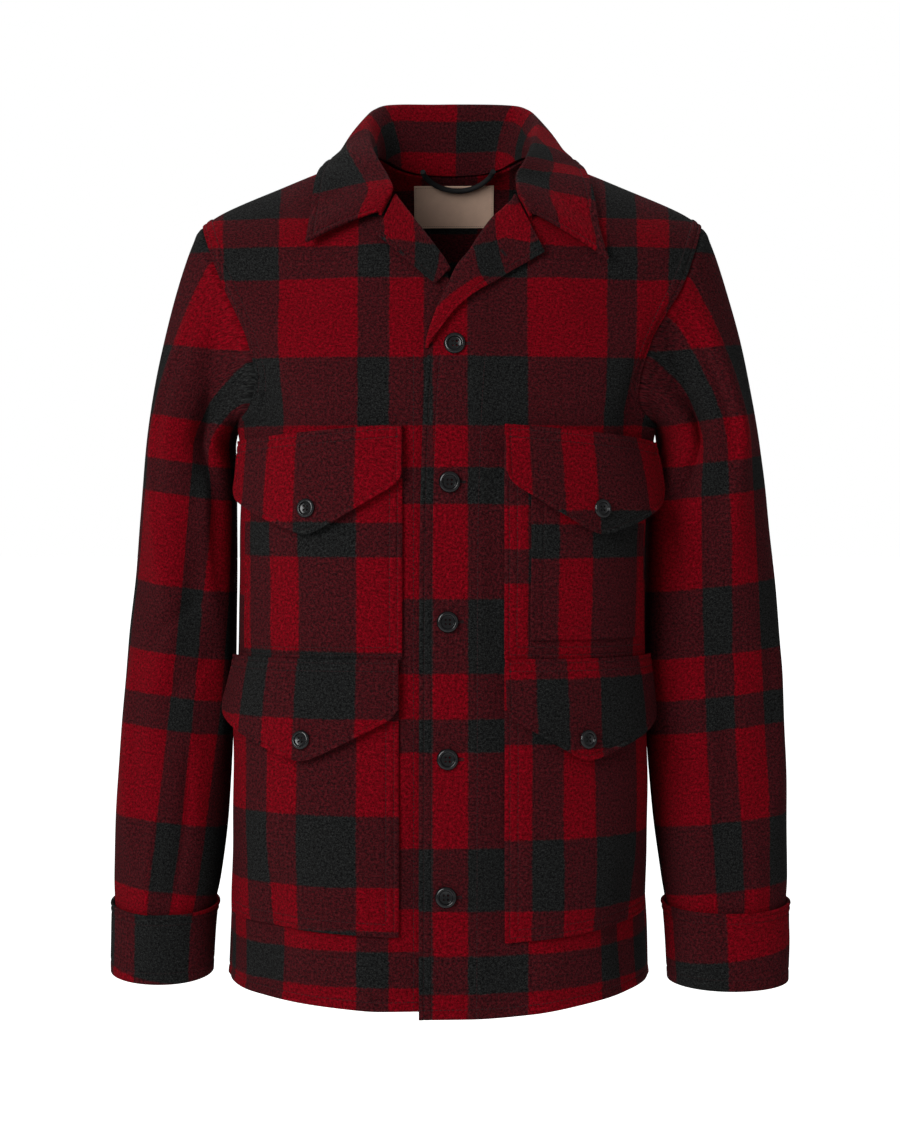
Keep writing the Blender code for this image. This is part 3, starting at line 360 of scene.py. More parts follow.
def armhole_arc(level, face):
    """The arc at which a panel ends at its side: at the seam up to the armpit, then at the armhole."""
    share = smooth_read(np.maximum(level, ARMPIT), ARMHOLE_RINGS, ARMHOLE_SHARE[face])
    return arc_of(share) - SEAM_GAP / 0.25


def panel_levels():
    """Levels of the panels' rows: close together above the hem, then evenly spaced up to the shoulder."""
    levels = np.linspace(0, RIDGE, 1301)
    path = torso(np.full(len(levels), 0.5), levels, -1)
    length = np.concatenate([[0.0], np.cumsum(np.linalg.norm(np.diff(path, axis=0), axis=1))])
    even = np.arange(HEM_LINES[-1] + ROW_STEP, length[-1] - 0.6 * ROW_STEP, ROW_STEP)
    return np.interp(np.concatenate([HEM_LINES, even, [length[-1]]]), length, levels) * (1 - 5e-4)


LEVELS = panel_levels()


def body_cloth(arc, level, face, check):
    """Places in the cloth, in metres of its check: across from the given column, and down by row."""
    at_x, at_warp = check
    across = way_round(arc, level, face) - way_round(arc_at(at_x, level), level, face)
    across = across if face < 0 else -across
    down = smooth_read(torso(arc, level, face)[..., 2], BODY_ROW_Z, BODY_ROW_AT)
    return np.stack([across + at_warp, down], axis=-1)


def grid_normals(points, facing, closed):
    """Unit normals of a grid of points, turned so that the one at a named place faces a named way."""
    if closed:
        across = np.roll(points, -1, axis=1) - np.roll(points, 1, axis=1)
    else:
        across = np.gradient(points, axis=1)
    normals = np.cross(across, np.gradient(points, axis=0))
    normals /= np.maximum(np.linalg.norm(normals, axis=-1, keepdims=True), 1e-12)
    row, column, way = facing
    sign = 1.0 if normals[row, column] @ np.array(way, float) > 0 else -1.0
    return normals * sign, sign


def finish_shape(piece):
    """Applies the piece's modifiers in their order."""
    bpy.ops.object.select_all(action="DESELECT")
    bpy.context.view_layer.objects.active = piece
    piece.select_set(True)
    for modifier in list(piece.modifiers):
        bpy.ops.object.modifier_apply(modifier=modifier.name)
    piece.data.shade_smooth()


def sew_piece(name, points, cloth, relief, facing, wall=WALL, closed=False, round_edge=SOFT_EDGE):
    """A sheet of cloth through a grid of points, with a wall, soft edges and places in the cloth as UV.

    It returns the piece, and the points and normals of its outer side, which carry stitching."""
    normals, sign = grid_normals(points, facing, closed)
    middle = points + normals * np.asarray(relief)[..., None]
    rows, columns = points.shape[:2]
    last = columns if closed else columns - 1
    row, column = (part.ravel() for part in np.mgrid[0:rows - 1, 0:last])
    right = (column + 1) % columns
    a, b = row * columns + column, row * columns + right
    corners = np.stack([a, b, b + columns, a + columns], axis=1)
    places = np.stack([cloth[row + i, column + j] for i, j in ((0, 0), (0, 1), (1, 1), (1, 0))], axis=1)
    if sign < 0:
        corners, places = corners[:, ::-1], places[:, ::-1]
    mesh = bpy.data.meshes.new(f"{name}_cloth")
    mesh.from_pydata(middle.reshape(-1, 3).tolist(), [], corners.tolist())
    mesh.uv_layers.new(name="cloth").data.foreach_set("uv", places.astype(np.float32).ravel())
    piece = bpy.data.objects.new(f"{name}_cloth", mesh)
    bpy.context.scene.collection.objects.link(piece)
    solid = piece.modifiers.new("wall", "SOLIDIFY")
    solid.thickness = wall
    solid.offset = 0.0
    soft = piece.modifiers.new("soft_edge", "BEVEL")
    soft.width = round_edge
    soft.segments = 2
    soft.limit_method = "ANGLE"
    soft.angle_limit = math.radians(50)
    finish_shape(piece)
    normals, _ = grid_normals(middle, facing, closed)
    return piece, middle + normals * wall / 2, normals


def groove(distance, line, depth=0.00085, half=0.0010):
    """The dent that a row of stitching pulls into thick cloth."""
    return -depth * np.exp(-(((distance - line) / half) ** 2))


def folded_edge(distance, height=0.0008):
    """The roll of cloth between a folded edge and the stitching beside it."""
    return height * np.exp(-(((distance - 0.0018) / 0.0014) ** 2)) + groove(distance, EDGE_STITCH)


def seam_dip(distance, depth=0.0010):
    return -depth * np.exp(-((distance / 0.0022) ** 2))


def new_group(name, inputs, outputs):
    """A shader node group with named sockets, and its first and last nodes."""
    group = bpy.data.node_groups.new(name, "ShaderNodeTree")
    for socket, kind, value in inputs:
        made = group.interface.new_socket(name=socket, in_out="INPUT", socket_type=kind)
        if value is not None:
            made.default_value = value
    for socket, kind in outputs:
        group.interface.new_socket(name=socket, in_out="OUTPUT", socket_type=kind)
    return group, group.nodes.new("NodeGroupInput"), group.nodes.new("NodeGroupOutput")


def put(tree, kind, links=(), values=(), **settings):
    """A new node with its settings, its inputs' values, and links into its inputs."""
    node = tree.nodes.new(kind)
    for name, value in settings.items():
        setattr(node, name, value)
    for socket, value in dict(values).items():
        node.inputs[socket].default_value = value
    for socket, source in dict(links).items():
        tree.links.new(source, node.inputs[socket])
    return node


def sum_up(tree, kind, *terms):
    """A Math node on the terms, each a socket or a number."""
    node = tree.nodes.new("ShaderNodeMath")
    node.operation = kind
    for socket, term in zip(node.inputs, terms):
        if isinstance(term, (int, float)):
            socket.default_value = term
        else:
            tree.links.new(term, socket)
    return node.outputs[0]


def blend_colours(tree, share, first, second, kind="MIX"):
    """A Mix node for colours, each end a socket or a colour."""
    node = put(tree, "ShaderNodeMix", data_type="RGBA", blend_type=kind)
    for socket, term in ((node.inputs[0], share), (node.inputs[6], first), (node.inputs[7], second)):
        if isinstance(term, (int, float, tuple)):
            socket.default_value = term
        else:
            tree.links.new(term, socket)
    return node.outputs[2]


def grain(tree, source, scale, detail=2.0, rough=0.6):
    node = put(tree, "ShaderNodeTexNoise", {"Vector": source},
               {"Scale": scale, "Detail": detail, "Roughness": rough})
    return node.outputs[0]


def stretched(tree, value, low, high):
    """The value spread so that low becomes 0 and high becomes 1."""
    node = put(tree, "ShaderNodeMapRange", {"Value": value}, {"From Min": low, "From Max": high})
    return node.outputs["Result"]


def stripes(tree, along, repeat, blacks, soft):
    """1 in the red stripes and 0 in the black ones, with edges as soft as the nap leaves them."""
    phase = sum_up(tree, "MULTIPLY", sum_up(tree, "FRACT", sum_up(tree, "DIVIDE", along, repeat)), repeat)
    black = 0.0
    for start, end in blacks:
        for shift in (-repeat, 0.0, repeat):
            if end + shift < -soft or start + shift > repeat + soft:
                continue
            rise = put(tree, "ShaderNodeMapRange", {"Value": phase},
                       {"From Min": start + shift - soft, "From Max": start + shift + soft}).outputs["Result"]
            fall = put(tree, "ShaderNodeMapRange", {"Value": phase},
                       {"From Min": end + shift - soft, "From Max": end + shift + soft}).outputs["Result"]
            black = sum_up(tree, "ADD", black, sum_up(tree, "SUBTRACT", rise, fall))
    return sum_up(tree, "SUBTRACT", 1.0, black)


def napped_wool():
    """Heavy wool twill, fulled and brushed: check, mixed yarns, fibres and nap, from places in the cloth."""
    tree, start, end = new_group(
        "napped_wool", [("Cloth", "NodeSocketVector", None)],
        [("Colour", "NodeSocketColor"), ("Roughness", "NodeSocketFloat"), ("Height", "NodeSocketFloat")])
    cloth = start.outputs["Cloth"]
    parts = put(tree, "ShaderNodeSeparateXYZ", {"Vector": cloth})
    fuzz = grain(tree, cloth, 520.0, 2.0)
    drift = grain(tree, cloth, 60.0, 1.0)
    wander = sum_up(tree, "ADD", sum_up(tree, "MULTIPLY_ADD", fuzz, 0.0030, -0.0015),
                    sum_up(tree, "MULTIPLY_ADD", drift, 0.0020, -0.0010))
    warp = sum_up(tree, "ADD", parts.outputs["X"], wander)
    weft = sum_up(tree, "SUBTRACT", parts.outputs["Y"], wander)
    across = stripes(tree, warp, WARP_REPEAT, WARP_BLACK, CHECK_SOFT)
    down = stripes(tree, weft, WEFT_REPEAT, WEFT_BLACK, CHECK_SOFT)
    both = sum_up(tree, "MULTIPLY", across, down)
    either = sum_up(tree, "MAXIMUM", across, down)
    yarns = stretched(tree, grain(tree, cloth, 430.0, 4.0, 0.9), 0.40, 0.60)
    fibres = stretched(tree, grain(tree, cloth, 820.0, 2.0, 0.8), 0.53, 0.66)
    clumps = stretched(tree, grain(tree, cloth, 210.0, 3.0), 0.30, 0.70)
    red = blend_colours(tree, yarns, WOOL_RED_DEEP, WOOL_RED)
    maroon = blend_colours(tree, yarns, WOOL_MAROON_DARK, WOOL_MAROON)
    charcoal = blend_colours(tree, yarns, WOOL_BLACK, WOOL_CHARCOAL)
    charcoal = blend_colours(tree, sum_up(tree, "MULTIPLY", fibres, 0.40), charcoal, WOOL_GREY_FIBRE)
    maroon = blend_colours(tree, sum_up(tree, "MULTIPLY", fibres, 0.16), maroon, WOOL_GREY_FIBRE)
    red = blend_colours(tree, sum_up(tree, "MULTIPLY", fibres, 0.12), red, WOOL_PINK_FIBRE)
    checked = blend_colours(tree, both, blend_colours(tree, either, charcoal, maroon), red)
    cloudy = sum_up(tree, "MULTIPLY_ADD", clumps, 0.22, 0.89)
    shade = put(tree, "ShaderNodeCombineColor", {0: cloudy, 1: cloudy, 2: cloudy})
    tree.links.new(blend_colours(tree, 1.0, checked, shade.outputs[0], "MULTIPLY"), end.inputs["Colour"])
    tree.links.new(sum_up(tree, "MULTIPLY_ADD", yarns, 0.10, 0.84), end.inputs["Roughness"])
    nap = sum_up(tree, "MULTIPLY", clumps, 0.45)
    nap = sum_up(tree, "MULTIPLY_ADD", yarns, 0.40, nap)
    nap = sum_up(tree, "MULTIPLY_ADD", fibres, 0.25, nap)
    tree.links.new(nap, end.inputs["Height"])
    return tree


def check_material():
    """The overshirt's cloth: the napped wool group with a soft sheen."""
    material = bpy.data.materials.new("wool_check")
    material.use_nodes = True
    tree = material.node_tree
    shader = tree.nodes["Principled BSDF"]
    places = put(tree, "ShaderNodeUVMap", uv_map="cloth")
    wool = put(tree, "ShaderNodeGroup", node_tree=napped_wool())
    tree.links.new(places.outputs[0], wool.inputs["Cloth"])
    bump = put(tree, "ShaderNodeBump", {"Height": wool.outputs["Height"]},
               {"Strength": 1.0, "Distance": 0.0012})
    tree.links.new(wool.outputs["Colour"], shader.inputs["Base Color"])
    tree.links.new(wool.outputs["Roughness"], shader.inputs["Roughness"])
    tree.links.new(bump.outputs[0], shader.inputs["Normal"])
    shader.inputs["Specular IOR Level"].default_value = 0.03
    shader.inputs["Sheen Weight"].default_value = 0.012
    shader.inputs["Sheen Roughness"].default_value = 0.5
    shader.inputs["Sheen Tint"].default_value = (1.0, 0.75, 0.72, 1.0)
    return material


def thread_material(name, colour):
    """Spun thread: twisted plies, a little uneven in tone."""
    material = bpy.data.materials.new(name)
    material.use_nodes = True
    tree = material.node_tree
    shader = tree.nodes["Principled BSDF"]
    place = put(tree, "ShaderNodeTexCoord")
    plies = put(tree, "ShaderNodeTexWave", {"Vector": place.outputs["Object"]},
                {"Scale": 420.0, "Distortion": 2.0, "Detail": 1.0}, bands_direction="DIAGONAL")
    tone = grain(tree, place.outputs["Object"], 300.0)
    lighter = tuple(min(1.0, 2.2 * part) for part in colour[:3]) + (1.0,)
    tree.links.new(blend_colours(tree, sum_up(tree, "MULTIPLY", plies.outputs[1], tone), colour, lighter),
                   shader.inputs["Base Color"])
    bump = put(tree, "ShaderNodeBump", {"Height": plies.outputs[1]}, {"Strength": 0.4, "Distance": 0.0002})
    tree.links.new(bump.outputs[0], shader.inputs["Normal"])
    shader.inputs["Roughness"].default_value = 0.75
    shader.inputs["Specular IOR Level"].default_value = 0.3
    return material


CHECK = check_material()
DARK_THREAD = thread_material("thread_maroon_black", THREAD_DARK)
BLACK_THREAD = thread_material("thread_black", THREAD_BLACK)


def dress(piece, material, node=None):
    """Gives a piece its material and slot, puts it on the one body, and in the place of its CAD node."""
    piece.data.materials.clear()
    piece.data.materials.append(material)
    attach(piece, "root")
    if node:
        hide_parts(node)


STITCH_SIDES = 5
STITCH_PLUMP = 0.55
STITCH_RINGS = ((-1.0, 0.30), (-0.72, 0.95), (0.0, 1.0), (0.72, 0.95), (1.0, 0.30))


def stitched(name, rows, pitch=0.0036, length=0.0027, radius=0.00034, sink=0.00012, thread=None):
    """Rows of stitches, each a short plump bar of thread half sunk in the cloth.

    rows are pairs of points and normals."""
    turn = np.arange(STITCH_SIDES) * 2 * math.pi / STITCH_SIDES
    points, faces = [], []
    for path, normals in rows:
        steps = np.linalg.norm(np.diff(path, axis=0), axis=1)
        at = np.concatenate([[0.0], np.cumsum(steps)])
        count = int((at[-1] - length) / pitch) + 1
        for centre in length / 2 + pitch * np.arange(max(count, 0)):
            ends = np.array([
                [np.interp(centre + s * length / 2, at, path[:, k]) for k in range(3)] for s in (-1, 0, 1)])
            out = np.array([np.interp(centre, at, normals[:, k]) for k in range(3)])
            out /= np.linalg.norm(out)
            ahead = ends[2] - ends[0]
            ahead /= np.linalg.norm(ahead)
            side = np.cross(out, ahead)
            first = len(points)
            for place, width in STITCH_RINGS:
                rise = radius * STITCH_PLUMP * (1 - place**2) - sink
                middle = ends[1] + (ends[2] - ends[0]) / 2 * place + out * rise
                for angle in turn:
                    points.append(middle + (side * math.cos(angle) + out * math.sin(angle)) * radius * width)
            for k in range(len(STITCH_RINGS) - 1):
                for i in range(STITCH_SIDES):
                    a, b = first + k * STITCH_SIDES + i, first + k * STITCH_SIDES + (i + 1) % STITCH_SIDES
                    faces.append((b, a, a + STITCH_SIDES, b + STITCH_SIDES))
            faces.append(tuple(range(first, first + STITCH_SIDES)))
            end = first + STITCH_SIDES * (len(STITCH_RINGS) - 1)
            faces.append(tuple(range(end + STITCH_SIDES - 1, end - 1, -1)))
    mesh = bpy.data.meshes.new(name)
    mesh.from_pydata([tuple(point) for point in points], [], faces)
    piece = bpy.data.objects.new(name, mesh)
    bpy.context.scene.collection.objects.link(piece)
    mesh.shade_smooth()
    dress(piece, thread or DARK_THREAD)
    return piece


def over_lift(x):
    """The over front rides on the under front at the placket, and lies back on the form past it."""
    return OVERLAP_LIFT * (1 - ease(OVERLAP_FULL, OVERLAP_END, x))


def no_lift(x):
    return 0.0 * x


SIDE_LINES = EDGE_LINES[::-1]


def front_arcs(reader, side, near):
    """Arcs of a front's columns: at set distances from its edge and its side, evenly spread between."""
    level = LEVELS[:, None]
    first = arc_at(reader(level) + side * np.array(near), level)
    outer = side * armhole_arc(level, -1)
    last = outer - side * np.array(SIDE_LINES) / round_length(level)
    share = np.linspace(0, 1, 44)[1:-1]
    between = first[:, -1:] + (last[:, :1] - first[:, -1:]) * share
    return np.concatenate([first, between, last], axis=1)


def side_relief(level, from_side):
    """The side seam's dip below the armpit, and above it the lapped and twice stitched armhole edge."""
    armhole = ease(6.2, 6.9, level)
    proud = 0.0012 * ease(0.0125, 0.0100, from_side)
    proud = proud + groove(from_side, EDGE_STITCH) + groove(from_side, SECOND_STITCH)
    return armhole * proud + (1 - armhole) * seam_dip(from_side)


def make_front(name, reader, side, near, carrier, check, drop):
    arc = front_arcs(reader, side, near)
    level = np.broadcast_to(LEVELS[:, None], arc.shape)
    points = off_torso(arc, level, -1, carrier(torso(arc, level, -1)[..., 0]))
    points[..., 2] -= drop * np.clip(1 - level / 1.2, 0, 1) * (1 - across_of(arc) ** 2) ** 2
    edge_x = reader(level)
    from_edge = np.abs(torso(arc, level, -1)[..., 0] - edge_x)
    from_side = np.abs(side * armhole_arc(level, -1) - arc) * round_length(level)
    from_hem = level * 0.1
    straight = 1 - ease(6.8, 7.6, level)
    placket = folded_edge(from_edge) + groove(from_edge, SECOND_STITCH)
    placket = placket + groove(from_edge, PLACKET_STITCH, 0.0004)
    relief = placket * straight + groove(from_hem, HEM_STITCH) + 0.0004 * np.exp(-((from_hem / 0.005) ** 2))
    relief = relief + side_relief(level, from_side)
    relief = relief + seam_dip((RIDGE - level) * 0.03)
    cloth = body_cloth(arc, level, -1, check)
    piece, outer, normals = sew_piece(name, points, cloth, relief, (60, 20, (0, -1, 0)))
    dress(piece, CHECK, name)
    below = int(np.searchsorted(LEVELS, 7.2))
    above = int(np.searchsorted(LEVELS, 6.6))
    hem = HEM_LINES.index(HEM_STITCH)
    rows = [(outer[hem, 1:-1], normals[hem, 1:-1])]
    for line in (EDGE_STITCH, SECOND_STITCH, PLACKET_STITCH):
        column = near.index(line)
        rows.append((outer[:below, column], normals[:below, column]))
    for line in (EDGE_STITCH, SECOND_STITCH):
        column = arc.shape[1] - 1 - EDGE_LINES.index(line)
        rows.append((outer[above:-2, column], normals[above:-2, column]))
    stitched(f"stitching_{name}", rows)
    return piece, outer, normals


UNDER_FRONT, _, _ = make_front(
    "front_right", UNDER_READER, -1, PLACKET_LINES, no_lift, UNDER_CHECK, 0.0)
OVER_FRONT, OVER_OUTER, OVER_NORMALS = make_front(
    "front_left", OVER_READER, 1, PLACKET_LINES, over_lift, OVER_CHECK, OVER_HEM_DROP)


# Back
# One panel from side seam to side seam, in the same cloth, hollowed at the top for the neck.
# It is seamed to the fronts at the sides and shoulders, and its armhole edges are lapped over the sleeves.
BACK_NECK_ACROSS = (0.0, 0.030, 0.052, 0.064, 0.071, 0.0745, 0.0775)
BACK_NECK_RING = (11.33, 11.40, 11.65, 12.02, 12.35, 12.75, 13.0)
BACK_NECK_START = 9.0
BACK_CHECK = (0.0, 0.027)


def back_grid():
    level = LEVELS[:, None]
    outer = armhole_arc(level, 1)
    near = outer - np.array(SIDE_LINES) / round_length(level, 1)
    share = np.linspace(-1, 1, 92)[1:-1]
    arc = np.concatenate([-near[:, ::-1], near[:, :1] * share, near], axis=1)
    level = np.broadcast_to(level, arc.shape)
    x = np.abs(torso(arc, level, 1)[..., 0] - NECK_MIDDLE)
    top = smooth_read(x, BACK_NECK_ACROSS, BACK_NECK_RING) * (1 - 5e-4)
    share = np.clip((level - BACK_NECK_START) / (RIDGE - BACK_NECK_START), 0, 1)
    lowered = np.where(level > BACK_NECK_START, BACK_NECK_START + (top - BACK_NECK_START) * share, level)
    return arc, level, lowered


arc, level, lowered = back_grid()
points = off_torso(arc, lowered, 1, np.zeros(arc.shape))
from_side = (armhole_arc(level, 1) - np.abs(arc)) * round_length(level, 1)
relief = groove(level * 0.1, HEM_STITCH) + side_relief(level, from_side) + seam_dip((RIDGE - level) * 0.03)
back_piece, BACK_OUTER, BACK_NORMALS = sew_piece(
    "back", points, body_cloth(arc, lowered, 1, BACK_CHECK), relief, (60, 50, (0, 1, 0)))
dress(back_piece, CHECK, "back")
hem = HEM_LINES.index(HEM_STITCH)
rows = [(BACK_OUTER[hem, 1:-1], BACK_NORMALS[hem, 1:-1])]
above = int(np.searchsorted(LEVELS, 6.6))
for line in (EDGE_STITCH, SECOND_STITCH):
    for column in (EDGE_LINES.index(line), arc.shape[1] - 1 - EDGE_LINES.index(line)):
        rows.append((BACK_OUTER[above:-2, column], BACK_NORMALS[above:-2, column]))
stitched("stitching_back", rows)


# Sleeves and cuffs
# Set-in sleeves, each one tube of cloth seamed at the underarm and eased into the armhole.
# A deep folded band of the same cloth is turned up round each end and stitched down.
SLEEVE_COLUMNS = ("z", "inner", "outer", "middle", "half_depth", "tilt")
SLEEVE_RIGHT = (
    (-0.270, 0.1980, 0.2770, 0.012, 0.070, 0.00),
    (-0.320, 0.1975, 0.2826, 0.018, 0.067, 0.00),
    (-0.380, 0.1975, 0.2888, 0.020, 0.064, 0.02),
    (-0.450, 0.1980, 0.2955, 0.016, 0.060, 0.05),
    (-0.520, 0.2000, 0.3005, 0.006, 0.056, 0.09),
    (-0.600, 0.2035, 0.3045, -0.006, 0.051, 0.13),
    (-0.660, 0.2100, 0.3060, -0.015, 0.047, 0.15),
    (-0.700, 0.2177, 0.3040, -0.020, 0.043, 0.15),
    (-0.760, 0.2210, 0.3040, -0.026, 0.0415, 0.15),
)
SLEEVE_LEFT = (
    (-0.270, 0.1920, 0.2855, 0.012, 0.070, 0.00),
    (-0.320, 0.1845, 0.2930, 0.018, 0.067, 0.00),
    (-0.380, 0.1820, 0.2995, 0.020, 0.063, 0.02),
    (-0.450, 0.1810, 0.3045, 0.016, 0.059, 0.05),
    (-0.520, 0.1825, 0.3080, 0.006, 0.054, 0.09),
    (-0.600, 0.1880, 0.3100, -0.006, 0.049, 0.12),
    (-0.660, 0.1955, 0.3095, -0.015, 0.045, 0.13),
    (-0.700, 0.2015, 0.3068, -0.020, 0.042, 0.13),
    (-0.760, 0.2050, 0.3062, -0.026, 0.040, 0.13),
)
SLEEVE_TOP = -0.270
SLEEVE_END = -0.694
SLEEVE_START = 0.0007
SLEEVE_START_UNDERARM = 0.0006
CAP_START = 0.060
CAP_START_UNDERARM = 0.018
CAP_END = 1.05
BODY_CLEARANCE = 0.0036
SLEEVE_HALF_COLUMNS = 56
CAP_ROWS = 52
TUBE_ROWS = 100
SLEEVE_RADIUS = 0.056
CREASE_STRENGTH = 1.9
SLEEVE_SWELL = 0.0050

# Folds in the CAD: turn at the top and bottom, heights, half breadth and depth
SLEEVE_FOLDS = (
    (1.95, 1.15, -0.105, -0.300, 0.26, -0.0060),
    (2.45, 1.75, -0.130, -0.420, 0.30, 0.0030),
    (1.20, 1.75, -0.360, -0.560, 0.28, -0.0035),
    (4.05, 4.60, -0.130, -0.330, 0.30, -0.0050),
    (4.70, 4.10, -0.360, -0.600, 0.30, -0.0035),
)

# Finer creases laid over them: places round the sleeve from its inner side, in metres, and heights
SLEEVE_CREASES = {
    -1: (
        (0.118, -0.110, 0.085, -0.215, 0.006, 0.0075, -0.0026),
        (0.085, -0.215, 0.052, -0.300, -0.004, 0.0065, -0.0026),
        (0.135, -0.240, 0.105, -0.400, 0.006, 0.0100, 0.0020),
        (0.062, -0.300, 0.050, -0.420, 0.004, 0.0080, 0.0018),
        (0.060, -0.410, 0.120, -0.452, 0.008, 0.0080, -0.0020),
        (0.052, -0.460, 0.112, -0.492, -0.006, 0.0070, -0.0014),
        (0.140, -0.470, 0.125, -0.640, 0.006, 0.0110, 0.0022),
        (0.070, -0.540, 0.078, -0.680, -0.004, 0.0080, -0.0020),
        (0.100, -0.600, 0.104, -0.690, 0.003, 0.0060, 0.0012),
        (0.230, -0.150, 0.262, -0.320, 0.006, 0.0100, -0.0030),
        (0.262, -0.330, 0.225, -0.480, -0.006, 0.0100, 0.0024),
        (0.250, -0.420, 0.200, -0.455, 0.006, 0.0090, -0.0026),
        (0.230, -0.500, 0.246, -0.660, 0.006, 0.0100, -0.0022),
    ),
    1: (
        (0.120, -0.105, 0.078, -0.230, -0.006, 0.0080, -0.0036),
        (0.078, -0.220, 0.050, -0.330, 0.004, 0.0070, -0.0028),
        (0.140, -0.200, 0.098, -0.370, -0.006, 0.0090, 0.0026),
        (0.060, -0.330, 0.064, -0.450, 0.004, 0.0090, 0.0018),
        (0.050, -0.430, 0.118, -0.470, 0.008, 0.0080, -0.0020),
        (0.150, -0.440, 0.132, -0.620, 0.004, 0.0110, 0.0024),
        (0.092, -0.500, 0.072, -0.670, 0.005, 0.0085, -0.0022),
        (0.112, -0.610, 0.108, -0.690, 0.003, 0.0060, 0.0012),
        (0.226, -0.150, 0.260, -0.320, 0.006, 0.0100, -0.0030),
        (0.262, -0.340, 0.222, -0.500, -0.006, 0.0100, 0.0024),
        (0.252, -0.420, 0.202, -0.450, 0.006, 0.0090, -0.0026),
        (0.232, -0.520, 0.248, -0.670, 0.006, 0.0100, -0.0022),
    ),
}
CUFF_TOP = -0.684
CUFF_BOTTOM = {-1: -0.7465, 1: -0.7540}
CUFF_PROUD = WALL / 2 + FOLDED_WALL / 2 + 0.0008
CUFF_STITCHES = (0.0036, 0.0090)
CUFF_BOTTOM_STITCH = 0.0100

# Where a column of the check runs down each sleeve, its drift by the cuff, and the height of a red row
SLEEVE_WARP = {-1: (0.1163, 0.0243), 1: (0.1375, 0.0)}
SLEEVE_ROW_Z = -0.3128
SLEEVE_ROW_TILT = 0.0065
CUFF_WARP = {-1: 0.0240, 1: 0.0560}
CUFF_RADIUS = {-1: 0.0480, 1: 0.0520}
CUFF_ROW = {-1: (-0.7440, 0.145), 1: (-0.7270, 0.083)}


def worn_form():
    """The body's cloth as a tree of faces, to keep other cloth clear of it."""
    arcs, levels = np.meshgrid(np.linspace(-1, 1, 101), np.linspace(0, RIDGE, 131))
    points, faces = [], []
    for face in (-1, 1):
        first = len(points)
        points.extend(map(Vector, off_torso(arcs.ravel(), levels.ravel(), face, np.zeros(arcs.size))))
        for row in range(arcs.shape[0] - 1):
            for column in range(arcs.shape[1] - 1):
                a = first + row * arcs.shape[1] + column
                corners = (a, a + 1, a + 1 + arcs.shape[1], a + arcs.shape[1])
                faces.append(corners if face < 0 else corners[::-1])
    return BVHTree.FromPolygons(points, faces)


FORM = worn_form()


def clear_of_body(points, distance):
    """Points moved out where they lie nearer to the body's cloth than the distance."""
    moved = points.copy()
    for i, point in enumerate(points):
        place, out, _, _ = FORM.find_nearest(Vector(point))
        if (Vector(point) - place).dot(out) < distance:
            moved[i] = place + out * distance
    return moved


def armhole_loop(side):
    """The armhole's edge from the armpit up the front and down the back, with the direction in which the
    body's cloth would run on past it, and each point's share of the way round."""
    spread = np.linspace(0, 1, SLEEVE_HALF_COLUMNS) ** 1.5
    rise = ARMPIT + (RIDGE * (1 - 5e-4) - ARMPIT) * spread
    levels = np.concatenate([rise, rise[::-1][1:]])
    faces = np.where(np.arange(len(levels)) < len(rise), -1, 1)
    edge, out, inward = (np.empty((len(levels), 3)) for _ in range(3))
    for face in (-1, 1):
        chosen = faces == face
        here = levels[chosen]
        around = side * armhole_arc(here, face)
        edge[chosen] = off_torso(around, here, face, np.zeros(here.shape))
        out[chosen] = torso_out(around * 0.998, np.minimum(here, RIDGE - 0.02), face)
        inward[chosen] = torso(around * 0.97, np.maximum(here - 0.15, 0), face)
    edge[[0, -1, len(rise) - 1], 1] = 0.0
    edge[-1] = edge[0]
    lengths = np.linalg.norm(np.diff(edge, axis=0), axis=1)
    share = np.concatenate([[0.0], np.cumsum(lengths)]) / lengths.sum()
    even = np.linspace(0, 1, len(share))
    edge = np.stack([np.interp(even, share, edge[:, k]) for k in range(3)], axis=1)
    out, inward = (
        np.stack([np.interp(even, share, part[:, k]) for k in range(3)], axis=1) for part in (out, inward))
    along = np.roll(edge[:-1], -1, axis=0) - np.roll(edge[:-1], 1, axis=0)
    onward = np.cross(np.vstack([along, along[:1]]), out)
    onward /= np.linalg.norm(onward, axis=1, keepdims=True)
    onward *= np.sign((onward * (edge - inward)).sum(axis=1))[:, None]
    onward[-1] = onward[0]
    return edge, onward, even


def sleeve_fold(side, turn, z):
    """How far the folds and creases stand out or in at a place on a sleeve."""
    depth = 0.0
    for turn_top, turn_end, top, end, half_breadth, height in SLEEVE_FOLDS:
        down = (z - top) / (end - top)
        middle = turn_top + (turn_end - turn_top) * np.clip(down, 0, 1)
        fade = ease(-0.15, 0.25, down) * (1 - ease(0.70, 1.15, down))
        depth = depth + height * np.exp(-(((turn - middle) / half_breadth) ** 2)) * fade
    around = turn * SLEEVE_RADIUS
    depth = depth + CREASE_STRENGTH * creased(SLEEVE_CREASES[side], around, z)
    swell = SLEEVE_SWELL * np.exp(-(((turn - 0.62) / 0.30) ** 2))
    depth = depth + swell * ease(-0.25, -0.31, z) * (1 - ease(-0.50, -0.60, z))
    return depth + wavering(around, z, 0.0008, 5.0 + side) * np.sin(turn / 2) ** 0.5


def sleeve_ring(side, turn, z, grow=0.0):
    """A point of a sleeve's ring. turn runs from 0, next to the body, through the front."""
    rows = np.array(SLEEVE_LEFT if side > 0 else SLEEVE_RIGHT)[::-1]
    inner, outer, middle, half_depth, tilt = (
        smooth_read(z, rows[:, 0], rows[:, SLEEVE_COLUMNS.index(name)]) for name in SLEEVE_COLUMNS[1:])
    half = (outer - inner) / 2 + grow
    fold = 1 + sleeve_fold(side, turn, z) / half
    x = (outer + inner) / 2 - half * fold * np.cos(turn)
    forward = (half_depth + grow) * fold * np.sin(turn)
    return np.stack(np.broadcast_arrays(side * x, middle - forward, z - tilt * forward), axis=-1)


